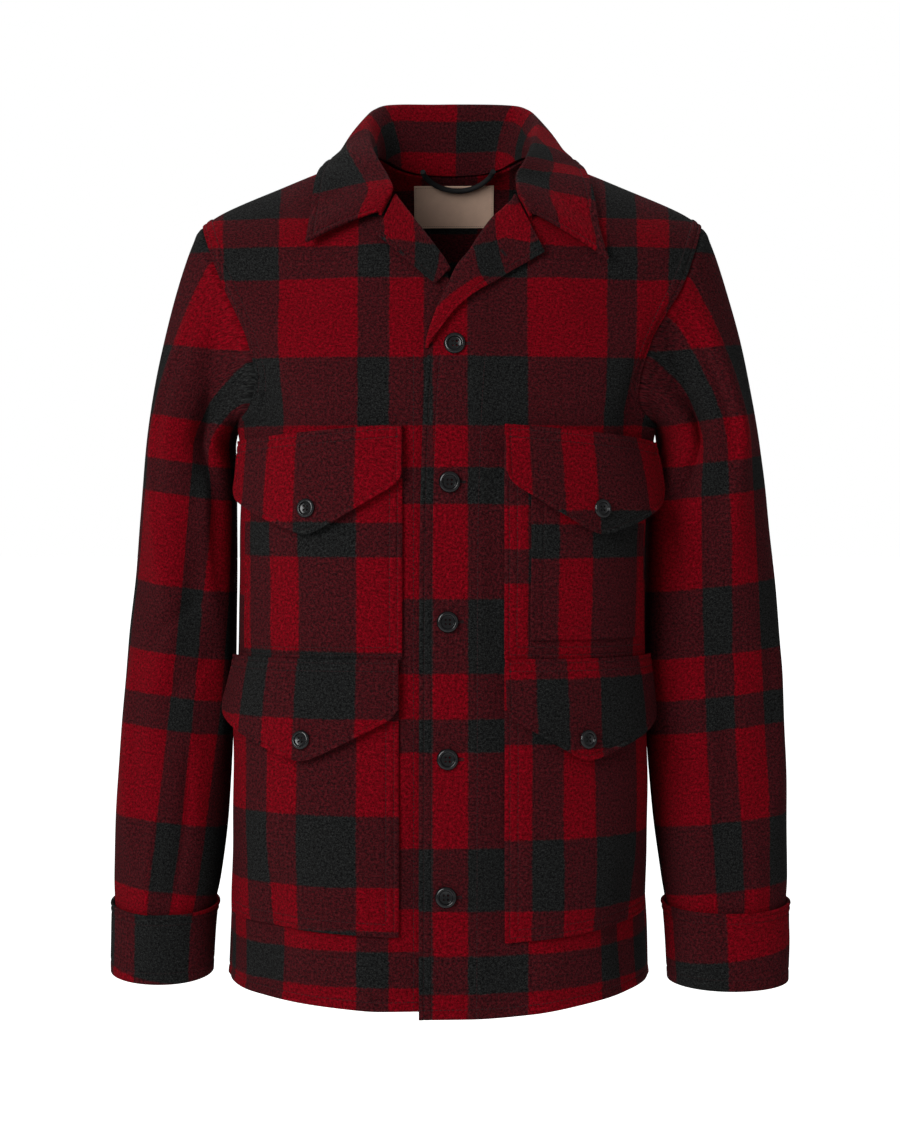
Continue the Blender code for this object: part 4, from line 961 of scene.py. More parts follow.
def sleeve_grid(side):
    """Points of a sleeve, row by row from the armhole down, and how far each row lies from the armhole."""
    edge, onward, share = armhole_loop(side)
    turn = 2 * math.pi * share
    outwardness = (1 - np.cos(turn)) / 2
    start = edge + onward * (SLEEVE_START + SLEEVE_START_UNDERARM * (1 - outwardness))[:, None]
    end = sleeve_ring(side, turn, np.full(len(turn), SLEEVE_TOP))
    below = sleeve_ring(side, turn, np.full(len(turn), SLEEVE_TOP - 0.01))
    leave = onward * (CAP_START_UNDERARM + (CAP_START - CAP_START_UNDERARM) * outwardness)[:, None]
    arrive = (below - end) / 0.01 * (CAP_END * np.linalg.norm(end - start, axis=1))[:, None]
    t = (np.linspace(0, 1, CAP_ROWS) ** 1.35)[:, None, None]
    cap = (start * (1 + 2 * t) * (1 - t) ** 2 + leave * t * (1 - t) ** 2
           + end * t * t * (3 - 2 * t) + arrive * t * t * (t - 1))
    middle = end * [1, 0, 0] + [0, 1, 0] * end.mean(axis=0)
    radial = cap - middle
    radial[..., 2] = 0
    radial /= np.maximum(np.linalg.norm(radial, axis=-1, keepdims=True), 1e-9)
    folds = sleeve_fold(side, turn, cap[..., 2]) * np.clip(4 * (1 - t) * t, 0, 1)[..., 0]
    cap = cap + radial * folds[..., None]
    z = np.linspace(SLEEVE_TOP, SLEEVE_END, TUBE_ROWS)[1:, None]
    tube = sleeve_ring(side, turn[None, :], z)
    points = np.concatenate([cap, tube], axis=0)
    low = points[..., 2] < RINGS[ARMPIT][0] - 0.004
    points[low] = clear_of_body(points[low], BODY_CLEARANCE)
    return points, turn


def sleeve_cloth(side, points, turn):
    """Places in the cloth of a sleeve: round it from its front, and down it by row."""
    warp, drift = SLEEVE_WARP[side]
    z = points[..., 2]
    down_sleeve = np.clip((-0.299 - z) / 0.364, -0.2, 1.1)
    around = side * (turn - math.pi / 2) * SLEEVE_RADIUS * 1.12
    across = around + warp + drift * down_sleeve
    down = SLEEVE_ROW_Z - z - SLEEVE_ROW_TILT * np.cos(turn)
    return np.stack(np.broadcast_arrays(across, down), axis=-1)


for side, word in ((-1, "right"), (1, "left")):
    points, turn = sleeve_grid(side)
    steps = np.linalg.norm(np.diff(points, axis=0), axis=-1)
    from_seam = np.concatenate([np.zeros((1, points.shape[1])), np.cumsum(steps, axis=0)])
    eased = 0.0006 * np.sin(turn * 34) * np.exp(-from_seam / 0.012) * (1 - np.exp(-from_seam / 0.003))
    relief = eased + seam_dip(from_seam, 0.0016) + 0.0008 * np.exp(-(((from_seam - 0.007) / 0.005) ** 2))
    relief = relief + seam_dip(np.minimum(turn, 2 * math.pi - turn) * SLEEVE_RADIUS)
    relief[:, -1] = relief[:, 0]
    cloth = sleeve_cloth(side, points, turn)
    sleeve, _, _ = sew_piece(
        f"sleeve_{word}", points[:, :-1], cloth, relief[:, :-1], (80, SLEEVE_HALF_COLUMNS - 1, (side, 0, 0)),
        closed=True)
    dress(sleeve, CHECK, f"sleeve_{word}")

    height = CUFF_TOP - CUFF_BOTTOM[side]
    near_top = np.array((0.0, 0.0012, 0.0026, 0.0036, 0.0046, 0.0062, 0.0078, 0.0090, 0.0102))
    near_end = np.array((0.0120, 0.0110, 0.0100, 0.0090, 0.0075, 0.0055, 0.0035, 0.0018, 0.0))
    fallen = np.concatenate([near_top, np.linspace(0.0102, height - 0.0120, 20)[1:-1], height - near_end])
    turn = np.linspace(0, 2 * math.pi, 121)
    points = sleeve_ring(side, turn[None, :], CUFF_TOP - fallen[:, None], CUFF_PROUD)
    down = np.broadcast_to(fallen[:, None], points.shape[:2])
    relief = groove(down, CUFF_STITCHES[0]) + groove(down, CUFF_STITCHES[1])
    relief = relief + 0.0006 * np.exp(-(((down - 0.0016) / 0.0016) ** 2))
    relief = relief + 0.0004 * np.exp(-(((down - 0.0064) / 0.0020) ** 2))
    relief = relief + groove(height - down, CUFF_BOTTOM_STITCH)
    relief = relief + wavering(turn * SLEEVE_RADIUS, -down * 2, 0.0006, side) * np.sin(turn / 2) ** 2
    row_z, row_at = CUFF_ROW[side]
    across = side * (turn - math.pi / 2) * CUFF_RADIUS[side] + CUFF_WARP[side]
    falling = row_at + row_z - (CUFF_TOP - down) - SLEEVE_ROW_TILT * np.cos(turn)
    cloth = np.stack(np.broadcast_arrays(across, falling), axis=-1)
    cuff, outer, normals = sew_piece(
        f"cuff_{word}", points[:, :-1], cloth, relief[:, :-1], (12, 60, (side, 0, 0)),
        FOLDED_WALL, True, FOLDED_SOFT_EDGE)
    dress(cuff, CHECK, f"cuff_{word}")
    rows = []
    for line in CUFF_STITCHES:
        row = int(np.argmin(np.abs(fallen - line)))
        rows.append((np.vstack([outer[row], outer[row, :1]]), np.vstack([normals[row], normals[row, :1]])))
    row = int(np.argmin(np.abs(height - fallen - CUFF_BOTTOM_STITCH)))
    rows.append((np.vstack([outer[row], outer[row, :1]]), np.vstack([normals[row], normals[row, :1]])))
    stitched(f"stitching_cuff_{word}", rows)


# Lapels and collar
# The tops of the fronts turn back as lapels, faced with the same cloth, each with a worked slit.
# The collar is one folded strip: a stand rising from the neck seam, and a leaf turned down to two points.
LAPEL_COLUMNS = ("ring", "edge_x", "edge_z")
UNDER_LAPEL = (
    (8.68, -0.0120, -0.1285), (8.90, -0.0180, -0.1240), (9.40, -0.0320, -0.1120), (9.95, -0.0460, -0.1000),
    (10.50, -0.0640, -0.0850),
)
OVER_LAPEL = (
    (7.30, -0.0135, -0.1765), (7.80, 0.0050, -0.1520), (8.40, 0.0260, -0.1350), (8.90, 0.0400, -0.1265),
    (9.40, 0.0530, -0.1180), (9.95, 0.0670, -0.1100), (10.50, 0.0830, -0.1010),
)
LAPEL_ROLL = 0.0026
LAPEL_START_GAP = 0.0016
LAPEL_LIFT = 0.0015
LAPEL_STITCH = 0.0048
LAPEL_NEAR = (0.0085, 0.0068, 0.0056, LAPEL_STITCH, 0.0040, 0.0026, 0.0012, 0.0)
LAPEL_BEND_COLUMNS = 9
COLLAR_SEAMS = (
    ("lapel", 0.60), ("lapel", 0.34), ("lapel", 0.04),
    ("front", 10.95), ("front", 11.55), ("front", 12.25), ("front", 12.85),
    ("back", 0.0700), ("back", 0.0630), ("back", 0.0470), ("back", 0.0250), ("back", 0.0),
)
GORGE_RING = 10.64
GORGE_SHARE = {-1: 1.0, 1: 0.72}
COLLAR_SECTIONS = (
    (0.0012, -0.0030, 0.0030, 0.1289, -0.093, -0.0886, 0.004),
    (0.0004, -0.0036, 0.0040, 0.1272, -0.080, -0.0740, 0.004),
    (-0.0006, -0.0044, 0.0052, 0.1254, -0.061, -0.0580, 0.006),
    (0.0595, -0.0570, -0.0270, 0.1225, -0.040, -0.0400, 0.008),
    (0.0680, -0.0390, -0.0110, 0.1195, -0.020, -0.0245, 0.011),
    (0.0755, -0.0140, 0.0040, 0.1165, 0.000, -0.0110, 0.014),
    (0.0795, 0.0090, 0.0150, 0.1145, 0.026, -0.0070, 0.018),
    (0.0815, 0.0350, 0.0285, 0.1105, 0.052, -0.0090, 0.022),
    (0.0765, 0.0600, 0.0425, 0.1000, 0.078, -0.0140, 0.022),
    (0.0620, 0.0780, 0.0515, 0.0780, 0.098, -0.0180, 0.018),
    (0.0335, 0.0840, 0.0540, 0.0400, 0.109, -0.0200, 0.013),
    (0.0000, 0.0850, 0.0545, 0.0000, 0.112, -0.0205, 0.012),
)
COLLAR_SEAM_INSET = 0.0031
LEFT_TIP_DROP = 0.0150
LEFT_TIP_OUT = 0.0090
COLLAR_CLEARANCE = 0.0045
COLLAR_STITCH = 0.0055
COLLAR_NEAR = (0.0095, 0.0078, 0.0066, COLLAR_STITCH, 0.0044, 0.0028, 0.0012, 0.0)
COLLAR_END_STITCH = 0.0045

# Where a black cell of the check lies on each lapel, and the collar's columns and rows
LAPEL_CELL = {-1: (-0.0248, -0.1060), 1: (0.0396, -0.1078)}
BLACK_CELL = (0.139, 0.198)
COLLAR_WARP = 0.0560
COLLAR_WARP_FROM_END = {-1: (0.053, 0.040), 1: (0.125, 0.036)}
COLLAR_ROW = 0.1650
COLLAR_ROW_DRIFT = 0.0470


def lapel_place(table, reader, carrier, ring_at, away, height):
    """A point on a lapel at a distance from its roll, and how broad the lapel is there."""
    rows = dict(zip(LAPEL_COLUMNS, np.array(table).T))
    ex, ez = (smooth_read(ring_at, rows["ring"], rows[name]) for name in LAPEL_COLUMNS[1:])
    rx = reader(ring_at)
    rz = torso(arc_at(rx, ring_at), ring_at, -1)[..., 2]
    breadth = np.hypot(ex - rx, ez - rz)
    x = rx + (ex - rx) / breadth * away
    z = rz + (ez - rz) / breadth * away
    level = level_at(x, z)
    flat = np.clip(away / breadth, 0, 1)
    return off_torso(arc_at(x, level), level, -1, height + LAPEL_LIFT * flat + carrier(x)), breadth


def lapel_grid(table, reader, carrier):
    """A lapel turned round its roll: butted to the front's edge, round a small bend, then back over it."""
    ring_at = np.linspace(table[0][0], table[-1][0], 64)[:, None]
    bend = np.linspace(-math.pi / 2, math.pi / 2, LAPEL_BEND_COLUMNS)
    _, breadth = lapel_place(table, reader, carrier, ring_at, 0.0 * ring_at, 0.0)
    near = np.array(LAPEL_NEAR)
    near = np.minimum(near, breadth * near / 0.0100)
    rest = (breadth - near[:, :1]) * np.linspace(0, 1, 13)[1:-1]
    flat = np.concatenate([rest, breadth - near], axis=1)
    size = (len(ring_at), LAPEL_BEND_COLUMNS)
    bent_away = np.broadcast_to(-LAPEL_START_GAP - LAPEL_ROLL * np.cos(bend), size)
    bent_height = np.broadcast_to(LAPEL_ROLL * (1 + np.sin(bend)), size)
    away = np.concatenate([bent_away, flat], axis=1)
    height = np.concatenate([bent_height, np.full(flat.shape, 2 * LAPEL_ROLL)], axis=1)
    ring_at = np.broadcast_to(ring_at, away.shape)
    points, _ = lapel_place(table, reader, carrier, ring_at, away, height)
    return points, ring_at, away, breadth


def turned_cloth(side, reader, ring_at, away):
    """Places in a lapel's cloth: its grain is the front's, mirrored over the roll."""
    ends = np.array([[reader(np.array(at)), torso(arc_at(reader(np.array(at)), at), np.array(at), -1)[2]]
                     for at in (9.0, 10.4)])
    along = (ends[1] - ends[0]) / np.linalg.norm(ends[1] - ends[0])
    rx = reader(ring_at)
    rz = torso(arc_at(rx, ring_at), ring_at, -1)[..., 2]
    beyond = np.array([along[1], -along[0]]) * side
    unturned_x = rx - beyond[0] * away
    unturned_z = rz - beyond[1] * away
    cell = np.array(LAPEL_CELL[side]) - ends[0]
    cell = ends[0] + 2 * (cell @ along) * along - cell
    return np.stack([unturned_x - cell[0] + BLACK_CELL[0], cell[1] - unturned_z + BLACK_CELL[1]], axis=-1)


LAPELS = {}
for side, word, table, reader, carrier in (
        (-1, "right", UNDER_LAPEL, UNDER_READER, no_lift), (1, "left", OVER_LAPEL, OVER_READER, over_lift)):
    points, ring_at, away, breadth = lapel_grid(table, reader, carrier)
    from_edge = breadth - away
    relief = 0.0005 * np.exp(-(((from_edge - 0.0018) / 0.0014) ** 2)) + groove(from_edge, LAPEL_STITCH)
    relief = relief * ease(0.004, 0.012, breadth)
    relief = relief + wavering(points[..., 0], points[..., 2], 0.0005, 2.0 + side)
    relief[:, :LAPEL_BEND_COLUMNS] *= np.linspace(0, 1, LAPEL_BEND_COLUMNS)
    lapel, outer, normals = sew_piece(
        f"lapel_{word}", points, turned_cloth(side, reader, ring_at, away), relief, (40, -3, (0, -1, 0)))
    dress(lapel, CHECK, f"lapel_{word}")
    line = LAPEL_NEAR.index(LAPEL_STITCH) - len(LAPEL_NEAR)
    LAPELS[side] = outer, normals
    stitched(f"stitching_lapel_{word}", [(outer[4:-1, line], normals[4:-1, line])])


def collar_seam(side, kind, at):
    """A point of the collar's neck seam, by its kind of place."""
    if side < 0:
        reader, table, carrier = UNDER_READER, UNDER_LAPEL, no_lift
    else:
        reader, table, carrier = OVER_READER, OVER_LAPEL, over_lift
    if kind == "lapel":
        end = np.array(table[-1][0])
        _, breadth = lapel_place(table, reader, carrier, end, 0.0, 0.0)
        top, _ = lapel_place(table, reader, carrier, end, at * GORGE_SHARE[side] * breadth, 2 * LAPEL_ROLL)
        above = torso(arc_at(reader(GORGE_RING), GORGE_RING), GORGE_RING, -1)
        roll = torso(arc_at(reader(end), end), end, -1)
        return top + above - roll
    if kind == "front":
        point = torso(arc_at(reader(at), at), at, -1)
    else:
        x = NECK_MIDDLE + side * at
        level = smooth_read(at, BACK_NECK_ACROSS, BACK_NECK_RING)
        point = torso(arc_at(x, level), level, 1)
    to_middle = np.array([NECK_MIDDLE, 0.02, point[2]]) - point
    return point + to_middle / np.linalg.norm(to_middle) * COLLAR_SEAM_INSET


def collar_half(side):
    """Seam and crest points of one half of the collar, from the centre back to the front end."""
    seams, crests = [], []
    for (kind, at), row in zip(COLLAR_SEAMS, COLLAR_SECTIONS):
        seam = collar_seam(side, kind, at)
        base = seam if kind == "lapel" else np.array([NECK_MIDDLE, 0.0, 0.0])
        seams.append(seam)
        crests.append(base + np.array([side * row[0], row[1], row[2]]))
    return np.array(seams[::-1]), np.array(crests[::-1])


def collar_section(t):
    """Seam, crest, edge and run of the section at t, from -1 at the right front end to 1 at the left."""
    rows = np.array(COLLAR_SECTIONS)[::-1]
    share = np.linspace(0, 1, len(rows))
    away = np.abs(t)
    right, left = collar_half(-1), collar_half(1)
    seam, crest = (
        np.stack([
            np.where(
                t < 0, smooth_read(away, share, right[part][:, k]),
                smooth_read(away, share, left[part][:, k]))
            for k in range(3)], axis=-1)
        for part in (0, 1))
    edge_x, edge_y, edge_z, run = (smooth_read(away, share, rows[:, k]) for k in (3, 4, 5, 6))
    left_tip = np.maximum(t, 0) ** 6
    edge_x = NECK_MIDDLE + np.sign(t) * (edge_x + LEFT_TIP_OUT * left_tip)
    edge = np.stack([edge_x, edge_y, edge_z - LEFT_TIP_DROP * left_tip], axis=-1)
    return seam, crest, edge, run


def bezier(a, b, c, d, t):
    t = t[..., None]
    return a * (1 - t) ** 3 + 3 * b * t * (1 - t) ** 2 + 3 * c * t * t * (1 - t) + d * t**3


def collar_grid():
    """Points of the collar, row by row from its neck seam to its outer edge."""
    ends = np.array((0.0, 0.0012, 0.0028, COLLAR_END_STITCH, 0.0062, 0.0085)) / 0.16
    t = np.concatenate([-1 + ends, np.linspace(-1 + ends[-1], 1 - ends[-1], 150)[1:-1], 1 - ends[::-1]])
    seam, crest, edge, run = collar_section(t)
    outward = edge - crest
    outward[:, 2] *= 0.35
    outward /= np.linalg.norm(outward, axis=1, keepdims=True)
    up = np.array([0.0, 0.0, 1.0])
    rise = np.linalg.norm(crest - seam, axis=1, keepdims=True)
    into_crest = crest - outward * np.minimum(0.3 * rise, 0.006)
    into_edge = edge + (crest - edge) * 0.35 + up * 0.004
    stand_down = np.linspace(0, 1, 16)[:-1, None] + 0 * t
    stand = bezier(seam, seam + up * rise * 0.5, into_crest, crest, stand_down)
    fine = np.linspace(0, 1, 40)[:, None] + 0 * t
    leaf = bezier(crest, crest + outward * run[:, None], into_edge, edge, fine)
    length = np.linalg.norm(np.diff(leaf, axis=0), axis=-1).sum(axis=0)
    near = np.array(COLLAR_NEAR)[:, None]
    near = np.minimum(near, 0.45 * length * near / COLLAR_NEAR[0])
    rest = (length - near[0]) * np.linspace(0, 1, 26)[:-1, None]
    down = np.concatenate([rest, length - near], axis=0) / length
    leaf = bezier(crest, crest + outward * run[:, None], into_edge, edge, down)
    points = np.concatenate([stand, leaf], axis=0)
    leafy = np.zeros(points.shape[:2], bool)
    leafy[18:] = True
    points[leafy] = clear_of_body(points[leafy], COLLAR_CLEARANCE)
    return points, t, length, down * length


points, t, length, down = collar_grid()
stand_rows = points.shape[0] - down.shape[0]
from_edge = np.full(points.shape[:2], 1.0)
from_edge[stand_rows:] = length - down
from_end = (1 - np.abs(t)) * 0.16 + np.zeros(points.shape[:2])
leafy = (np.arange(points.shape[0]) > stand_rows + 3)[:, None]
relief = 0.0006 * np.exp(-(((from_edge - 0.0020) / 0.0016) ** 2)) + groove(from_edge, COLLAR_STITCH)
relief = relief + groove(from_end, COLLAR_END_STITCH)
relief = relief + 0.0005 * np.exp(-(((from_end - 0.0016) / 0.0014) ** 2))
unevenness = wavering(points[..., 0] + points[..., 1], points[..., 2], 0.0007, 4.0)
relief = relief * leafy + unevenness * (1 - np.abs(t) ** 8)
crest_points = points[stand_rows]
steps = np.linalg.norm(np.diff(crest_points, axis=0), axis=1)
around = np.concatenate([[0.0], np.cumsum(steps)])
around -= around[len(around) // 2]
steps = np.linalg.norm(np.diff(points, axis=0), axis=-1)
path = np.concatenate([np.zeros((1, points.shape[1])), np.cumsum(steps, axis=0)])
below_crest = path - path[stand_rows]
drift = COLLAR_ROW_DRIFT * ease(0.30, 0.70, t)
across = COLLAR_WARP - around
for side, end in ((-1, 0), (1, -1)):
    warp, inwards = COLLAR_WARP_FROM_END[side]
    shift = warp + around[end] - side * inwards - COLLAR_WARP
    shift -= WARP_REPEAT * round(shift / WARP_REPEAT)
    across = across + shift * ease(0.35, 0.75, side * t)
cloth = np.stack(np.broadcast_arrays(across, COLLAR_ROW - below_crest + drift), axis=-1)
collar, outer, normals = sew_piece(
    "collar", points, cloth, relief, (-4, 81, (0, 0.5, 1)), FOLDED_WALL, round_edge=FOLDED_SOFT_EDGE)
dress(collar, CHECK, "collar")
line = COLLAR_NEAR.index(COLLAR_STITCH) - len(COLLAR_NEAR)
rows = [(outer[line, 3:-3], normals[line, 3:-3])]
for column in (3, -4):
    rows.append((outer[stand_rows + 5:-4, column], normals[stand_rows + 5:-4, column]))
stitched("stitching_collar", rows)


# Patch pockets
# Four patches of the cloth, laid on the fronts and stitched round twice. The chest ones end above the hip flaps.
# A smaller patch for pencils is stitched onto the wearer's left chest pocket.
POCKET_LAYER = WALL + LAYER_GAP
PENCIL_LAYER = WALL + 0.0007
CHEST_PUFF = 0.0030
HIP_PUFF = 0.0050
CHEST_TOP = (-0.2505, -0.2640)
CHEST_BOTTOM = (-0.4550, -0.4570)
HIP_TOP = (-0.4585, -0.4600)
HIP_BOTTOM = {-1: (-0.6967, -0.6880), 1: (-0.7020, -0.6880)}
CHEST_INNER = {-1: -0.0410, 1: 0.0485}
HIP_INNER = {-1: -0.0440, 1: 0.0485}
CHEST_BREADTH = 0.164
HIP_BREADTH = {-1: 0.182, 1: 0.174}
PENCIL_INNER = 0.0700
PENCIL_BREADTH = 0.122
PENCIL_TOP = -0.2900
PENCIL_BOTTOM = -0.4390
POCKET_LINES = (
    0.0, 0.0010, 0.0022, 0.0030, EDGE_STITCH, 0.0042, 0.0056, 0.0075, 0.0094, SECOND_STITCH, 0.0118, 0.0140)

CHEST_CHECK = {-1: ((-0.0795, 0.053), (-0.3660, 0.0)), 1: ((0.0680, 0.125), (-0.3890, 0.0))}
HIP_CHECK = {-1: ((-0.0795, 0.053), (-0.5090, 0.0)), 1: ((0.0706, 0.125), (-0.6130, 0.083))}
PENCIL_CHECK = ((0.0662, 0.125), (-0.3672, 0.0))


def pocket_place(side, inner_x, breadth, u, inner_z, outer_z):
    """Arc and level of a place on a pocket, u from its inner to its outer edge, at heights given there."""
    z = inner_z + (outer_z - inner_z) * u
    inner_level = level_at(np.full(np.shape(z), inner_x), z)
    start = arc_at(inner_x, inner_level)
    arc = start + side * breadth * u / round_length(3.5)
    level = level_at(torso(arc, inner_level, -1)[..., 0], z)
    return arc, level


def puffed(u, v, puff):
    return puff * (np.clip(4 * u * (1 - u), 0, 1) * np.clip(4 * v * (1 - v), 0, 1)) ** 0.6


def from_both_ends(lines, length, count):
    """Distances along a length: the lines from each end, and even steps between them."""
    lines = np.array(lines)
    between = np.linspace(lines[-1], length - lines[-1], count)[1:-1]
    return np.concatenate([lines, between, length - lines[::-1]])


def patch_cloth(arc, level, check):
    """Places in a patch's cloth, from its own column and row of the check."""
    (at_x, warp), (row_z, row) = check
    across = way_round(arc, level, -1) - way_round(arc_at(at_x, level), level, -1) + warp
    return np.stack([across, row + row_z - torso(arc, level, -1)[..., 2]], axis=-1)


def patch_grid(side, inner_x, breadth, top, bottom, layer):
    """Points of a patch, and each one's distance from its sides and from its bottom."""
    across = from_both_ends(POCKET_LINES, breadth, 40)
    height = top[0] - bottom[0]
    down = from_both_ends(POCKET_LINES, height, 46)[:, None]
    u, v = np.broadcast_arrays(across / breadth, down / height)
    inner = top[0] + (bottom[0] - top[0]) * v
    outer = top[1] + (bottom[1] - top[1]) * v
    arc, level = pocket_place(side, inner_x, breadth, u, inner, outer)
    points = off_torso(arc, level, -1, layer(u, v))
    from_side = np.minimum(u, 1 - u) * breadth
    return points, arc, level, from_side, (1 - v) * height


def sew_patch(name, side, inner_x, breadth, top, bottom, layer, check, lines):
    points, arc, level, from_side, from_end = patch_grid(side, inner_x, breadth, top, bottom, layer)
    nearest = np.minimum(from_side, from_end)
    relief = 0.0005 * np.exp(-(((nearest - 0.0018) / 0.0014) ** 2))
    for line in lines:
        relief = relief + groove(nearest, line)
    relief = relief - 0.0004 * np.exp(-nearest / 0.0025)
    relief = relief + wavering(points[..., 0], points[..., 2], 0.0005, side * 2.0)
    piece, outer, normals = sew_piece(
        name, points, patch_cloth(arc, level, check), relief, (20, 20, (0, -1, 0)))
    dress(piece, CHECK, name)
    rows = []
    for line in lines:
        k = POCKET_LINES.index(line)
        rows.append((outer[2:-k - 1, k], normals[2:-k - 1, k]))
        rows.append((outer[2:-k - 1, -1 - k], normals[2:-k - 1, -1 - k]))
        rows.append((outer[-1 - k, k:-1 - k], normals[-1 - k, k:-1 - k]))
    stitched(f"stitching_{name}", rows)


for side, word in ((-1, "right"), (1, "left")):
    sew_patch(f"chest_pocket_{word}", side, CHEST_INNER[side], CHEST_BREADTH, CHEST_TOP, CHEST_BOTTOM,
              lambda u, v: POCKET_LAYER + puffed(u, v, CHEST_PUFF), CHEST_CHECK[side],
              (EDGE_STITCH, SECOND_STITCH))
    sew_patch(f"hip_pocket_{word}", side, HIP_INNER[side], HIP_BREADTH[side], HIP_TOP, HIP_BOTTOM[side],
              lambda u, v: POCKET_LAYER + puffed(u, v, HIP_PUFF), HIP_CHECK[side],
              (EDGE_STITCH, SECOND_STITCH))


def pencil_layer(u, v):
    """The small patch follows the swell of the pocket beneath it."""
    z = PENCIL_TOP + (PENCIL_BOTTOM - PENCIL_TOP) * v
    chest_u = (PENCIL_INNER - CHEST_INNER[1] + PENCIL_BREADTH * u) / CHEST_BREADTH
    chest_v = (CHEST_TOP[0] - z) / (CHEST_TOP[0] - CHEST_BOTTOM[0])
    return POCKET_LAYER + PENCIL_LAYER + puffed(chest_u, chest_v, CHEST_PUFF)


sew_patch("pencil_pocket_left", 1, PENCIL_INNER, PENCIL_BREADTH, (PENCIL_TOP, PENCIL_TOP),
          (PENCIL_BOTTOM, PENCIL_BOTTOM), pencil_layer, PENCIL_CHECK, (SECOND_STITCH,))


# Flaps
# Each is two layers of the cloth sewn round, turned out and stitched near the edge, with square top corners
# and a rounded point. It is stitched to the front along its top in two rows, tacked at the ends.
FLAP_LAYER = WALL / 2 + FOLDED_WALL / 2 + 0.0007
FLAP_SIDE = 0.045
FLAP_POINT = 0.089
FLAP_ROUND = 0.010
FLAP_LIFT = 0.0050
FLAP_LIFT_OVER_PENCIL = 0.0110
FLAP_WIDER = 0.006
CHEST_POINT_SHARE = {-1: 0.475, 1: 0.47}
HIP_POINT_SHARE = {-1: 0.43, 1: 0.385}
HIP_FLAP_RAISE = 0.0035
FLAP_TOP_STITCHES = (0.0036, 0.0106)
FLAP_BUTTON_UP = {"chest": 0.0215, "hip": 0.0165}
CHEST_FLAP_CHECK = {-1: ((-0.0795, 0.053), (-0.3355, 0.083)), 1: ((0.0680, 0.125), (-0.3250, 0.083))}
HIP_FLAP_CHECK = {-1: ((-0.0795, 0.053), (-0.4460, 0.083)), 1: ((0.0735, 0.125), (-0.4730, 0.083))}
FLAP_SEATS = {}


def flap_length(u, point):
    """How far a flap hangs at u: square sides, rounded corners and a rounded point at the share given."""
    from_point = np.where(u < point, (point - u) / point, (u - point) / (1 - point))
    to_middle = 1 - np.sqrt(from_point**2 + 0.010) + math.sqrt(0.010)
    from_side = np.minimum(u, 1 - u) * CHEST_BREADTH
    corner = FLAP_ROUND - np.sqrt(np.maximum(FLAP_ROUND**2 - np.maximum(FLAP_ROUND - from_side, 0) ** 2, 0))
    return FLAP_SIDE + (FLAP_POINT - FLAP_SIDE) * to_middle - corner * 0.8


def sew_flap(
        name, side, inner_x, breadth, top, point, lift, puff, pocket_top, pocket_bottom, check):
    """A flap lies on the pocket's top edge, lifts off it towards its own edge, and flares outwards."""
    across = from_both_ends(POCKET_LINES, breadth, 56)
    u = across / breadth
    length = flap_length(u, point)
    near = np.array(POCKET_LINES[::-1])[:, None]
    first = np.array(POCKET_LINES)[:, None] + 0 * u
    between = first[-1] + (length - near[0] - first[-1]) * np.linspace(0, 1, 16)[1:-1, None]
    hang = np.concatenate([first, between, length - near], axis=0)
    u = np.broadcast_to(u, hang.shape)
    v = hang / length
    arc, level = pocket_place(side, inner_x, breadth + FLAP_WIDER * v, u, top[0] - hang, top[1] - hang)
    down = np.clip((pocket_top - (top[0] - hang)) / (pocket_top - pocket_bottom), 0, 1)
    bow = 0.0012 * np.sin(u * 9.0 + side) * v**2
    height = POCKET_LAYER + FLAP_LAYER + puffed(u, down, puff) + lift * v**1.2 + bow
    points = off_torso(arc, level, -1, height)
    from_side = np.minimum(u, 1 - u) * breadth
    nearest = np.minimum(from_side, length - hang)
    relief = folded_edge(nearest, 0.0006)
    for line in FLAP_TOP_STITCHES:
        relief = relief + groove(hang, line)
    piece, outer, normals = sew_piece(
        name, points, patch_cloth(arc, level, check), relief, (20, 20, (0, -1, 0)), FOLDED_WALL,
        round_edge=FOLDED_SOFT_EDGE)
    dress(piece, CHECK, name)
    k = POCKET_LINES.index(EDGE_STITCH)
    rows = [(outer[k:-1 - k, k], normals[k:-1 - k, k]), (outer[k:-1 - k, -1 - k], normals[k:-1 - k, -1 - k]),
            (outer[-1 - k, k:-1 - k + 1], normals[-1 - k, k:-1 - k + 1])]
    for line in FLAP_TOP_STITCHES:
        k = POCKET_LINES.index(line)
        rows.append((outer[k, 3:-3], normals[k, 3:-3]))
    stitched(f"stitching_{name}", rows)
    seat = (np.abs(u[0] - point)).argmin()
    row = np.abs(hang[:, seat] - (length[seat] - FLAP_BUTTON_UP[name.split("_")[0]])).argmin()
    FLAP_SEATS[name] = (outer[row, seat], normals[row, seat])
    k = POCKET_LINES.index(FLAP_TOP_STITCHES[1])
    return [(outer[k, 2:7], normals[k, 2:7]), (outer[k, -7:-2], normals[k, -7:-2])]


tacks = []
for side, word in ((-1, "right"), (1, "left")):
    tacks += sew_flap(
        f"chest_flap_{word}", side, CHEST_INNER[side], CHEST_BREADTH, CHEST_TOP, CHEST_POINT_SHARE[side],
        FLAP_LIFT_OVER_PENCIL if side > 0 else FLAP_LIFT, CHEST_PUFF, CHEST_TOP[0], CHEST_BOTTOM[0],
        CHEST_FLAP_CHECK[side])
    hip_top = (HIP_TOP[0] + HIP_FLAP_RAISE, HIP_TOP[1] + HIP_FLAP_RAISE)
    tacks += sew_flap(
        f"hip_flap_{word}", side, HIP_INNER[side], HIP_BREADTH[side], hip_top, HIP_POINT_SHARE[side],
        FLAP_LIFT, HIP_PUFF, HIP_TOP[0], HIP_BOTTOM[side][0], HIP_FLAP_CHECK[side])
stitched("tacks_flaps", tacks, pitch=0.0007, length=0.0016, radius=0.00055, thread=BLACK_THREAD)


